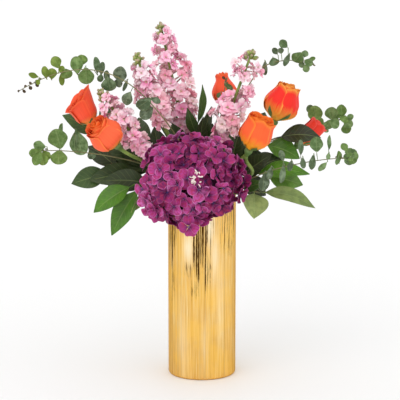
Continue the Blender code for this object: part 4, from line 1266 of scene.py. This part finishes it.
def add_round_leaf(batch, start, tip, width, age, rng):
    """A round eucalyptus leaf on its short stalk, its upper face near the front."""
    reach = (tip - start).normalized()
    twist = math.radians(rng.uniform(-32, 32))
    normal = Matrix.Rotation(twist, 3, reach) @ (FRONT - reach * reach.dot(FRONT)).normalized()
    turn, length = leaf_turn(start, tip, normal)
    stalk = length * 0.10
    if age <= 1:
        age = min(0.88, max(0, age + rng.uniform(-0.12, 0.12)))
    add_petal(
        batch, turn @ shift(y=stalk), width, length - stalk, tone=rng.random(), age=age, rows=9, cols=9,
        waist=0.6, cup=rng.uniform(-0.06, 0.10), curl=rng.uniform(-0.4, 0.6),
        ruffle=rng.uniform(0.01, 0.045), waves=rng.choice((2, 3, 4)), phase=rng.uniform(0, 6),
        fold=rng.uniform(0.02, 0.14),
    )
    petiole = turn @ spin(-90, "X") @ stretched(0.6 * MM, 0.6 * MM, stalk * 1.6)
    batch.lump(TUBE, petiole, tone=0.6, age=age)


def nearest(points, spot):
    """The closest place to a spot on a path, and how far along the path it is."""
    best = (9.0, points[0], 0.0)
    for i, (a, b) in enumerate(zip(points, points[1:])):
        share = min(1.0, max(0.0, (spot - a).dot(b - a) / (b - a).length_squared))
        on = a.lerp(b, share)
        found = ((on - spot).length, on, (i + share) / (len(points) - 1))
        best = min(best, found, key=lambda each: each[0])
    return best[1:]


def build_eucalyptus(name, row, slot, tip, direction, lift, pull, leaf_radius, pairs, bare, bark, leaf_look):
    """A branch with round leaves in pairs, each pair turned from the last, smaller towards the tip."""
    rng = random.Random(name)
    path = stem_path(name, row, slot, Vector(tip) * MM, direction, lift, pull)
    branch = leafing_path(name, 10, row, slot, Vector(tip) * MM, direction, lift, pull)
    leaves = Batch()
    first, last = EUCALYPTUS_FRESH.get(name, (0.1, 0.35))
    for i in range(0 if name in EUCALYPTUS_LEAVES else pairs):
        share = bare + (0.985 - bare) * i / (pairs - 1)
        place, forward = along(branch, share)
        size = leaf_radius * MM * (1 - 0.55 * (i / (pairs - 1)) ** 2) * 1.14
        side = facing(forward) @ spin(90 * i + 35)
        fresh = first + (last - first) * (i / (pairs - 1)) ** 1.3
        for k in (0, 1):
            out = side @ Vector((1 - 2 * k, 0, 0))
            out.y *= 0.4
            reach = (out.normalized() * 0.86 + forward * 0.5).normalized()
            start = place + reach * 0.2 * MM
            end = start + reach * size * 2.1
            add_round_leaf(leaves, start, end, size * 2 * rng.uniform(0.90, 1.04), fresh, rng)
    for start, end, width in EUCALYPTUS_LEAVES.get(name, ()):
        start, end = Vector(start) * MM, Vector(end) * MM
        on, share = nearest(path, start)
        fresh = first + (last - first) * smooth((share - 0.5) / 0.5)
        if width < 6 and share > 0.9:
            fresh = BUD_AGE
        add_round_leaf(leaves, start, end, width * 1.10 * MM, fresh, rng)
        if (start - on).length > 2 * MM:
            twig = shift(*on) @ facing(start - on) @ stretched(0.7 * MM, 0.7 * MM, (start - on).length)
            leaves.lump(TUBE, twig, tone=0.3, age=fresh)
    tip_place, tip_way = along(branch, 1.0)
    for i in range(4):
        out = (facing(tip_way) @ spin(GOLDEN_ANGLE * i)) @ Vector((1, 0, 0))
        place = tip_place - tip_way * 3 * i * MM + out * 1.6 * MM
        bud = shift(*place) @ facing(tip_way + out * 0.5) @ stretched(1.2 * MM, 1.2 * MM, 2.6 * MM)
        leaves.lump(SPHERE, bud, tone=0.2, age=BUD_AGE)
    leaves.build(name + "_leaves", leaf_look, "eucalyptus_leaf")
    count = len(path)
    radii = [EUCALYPTUS_STEM_RADIUS * (1 if i < 2 else 0.62 - 0.3 * i / count) for i in range(count)]
    stem(name + "_twig", path, radii, bark, [name])


def build_salal(name, row, slot, tip, direction, leaf_rows, bark, leaf_look):
    """A branch with large pointed leaves, each from a share along the branch to its own tip."""
    rng = random.Random(name)
    path = stem_path(name, row, slot, Vector(tip) * MM, direction)
    branch = leafing_path(name, 7, row, slot, Vector(tip) * MM, direction)
    leaves = Batch()
    fresh = SALAL_FRESH.get(name, (0.3, 0.2, 0.35, 0.25, 0.45))
    rows = [(*leaf, young) for leaf, young in zip(leaf_rows, fresh)]
    rows += [(*leaf, FRONT, 0.06, 0.22) for leaf in FILL_LEAVES.get(name, ())]
    for share, leaf_tip, width, normal, droop, age in rows:
        place, _ = along(branch, min(share, 0.985))
        turn, length = leaf_turn(place, Vector(leaf_tip) * MM, normal)
        grid, *marks = pointed_leaf(length, width * MM, droop, rng)
        leaves.add(grid, grid_faces(*grid.shape[:2]), turn, *marks, tone=rng.random(), age=age)
    leaves.build(name + "_leaves", leaf_look, "salal_leaf", 0.5 * MM, [name])
    count = len(path)
    radii = [SALAL_STEM_RADIUS * (1 if i < 2 else 1 - 0.45 * i / count) for i in range(count)]
    stem(name + "_twig", path, radii, bark)


# ---- stage ----
def build_stage():
    """A pale floor wide enough to fill the view, soft light and the camera."""
    floor = bpy.data.meshes.new("floor")
    corners = [(x * FLOOR_HALF, y * FLOOR_HALF, 0) for x, y in ((-1, -1), (1, -1), (1, 1), (-1, 1))]
    floor.from_pydata(corners, [], [(0, 1, 2, 3)])
    look = Look("floor", Roughness=0.6, Specular_IOR_Level=0.2)
    look.put("Base Color", (0.95, 0.95, 0.95, 1))
    floor.materials.append(look.material)
    ground = placed("floor", floor)

    world = bpy.data.worlds.new("studio")
    world.use_nodes = True
    background = world.node_tree.nodes["Background"]
    background.inputs["Color"].default_value = (1, 1, 1, 1)
    background.inputs["Strength"].default_value = WORLD_LIGHT
    bpy.context.scene.world = world

    for name, toward, angle, strength in SUNS:
        light = bpy.data.lights.new(name, "SUN")
        light.angle = math.radians(angle)
        light.energy = strength
        lamp = placed(name, light)
        lamp.rotation_euler = (-Vector(toward)).to_track_quat("-Z", "Y").to_euler()

    lens = bpy.data.cameras.new("camera")
    lens.lens = CAMERA_LENS
    lens.sensor_width = CAMERA_SENSOR
    camera = placed("camera", lens)
    target = Vector(CAMERA_TARGET)
    height = math.radians(CAMERA_ELEVATION)
    camera.location = target + Vector((0, -math.cos(height), math.sin(height))) * CAMERA_DISTANCE
    camera.rotation_euler = (target - camera.location).to_track_quat("-Z", "Y").to_euler()
    bpy.context.scene.camera = camera
    bpy.context.scene.view_settings.view_transform = "Standard"


def main():
    greens = green_look("flower_stem", "#93A852", "#66803A")
    bark = green_look("twig", "#8A8458", "#6A6A44")
    build_vase()
    build_hydrangea(greens)
    for rose in ROSES:
        build_rose(*rose, greens)
    petal_look, calyx_look = stock_look(), bud_look()
    for stock in STOCKS:
        build_stock(*stock, greens, petal_look, calyx_look)
    round_look = eucalyptus_look()
    for branch in EUCALYPTUS:
        build_eucalyptus(*branch, bark, round_look)
    broad_look = salal_look()
    for branch in SALAL:
        build_salal(*branch, bark, broad_look)
    build_stage()


main()
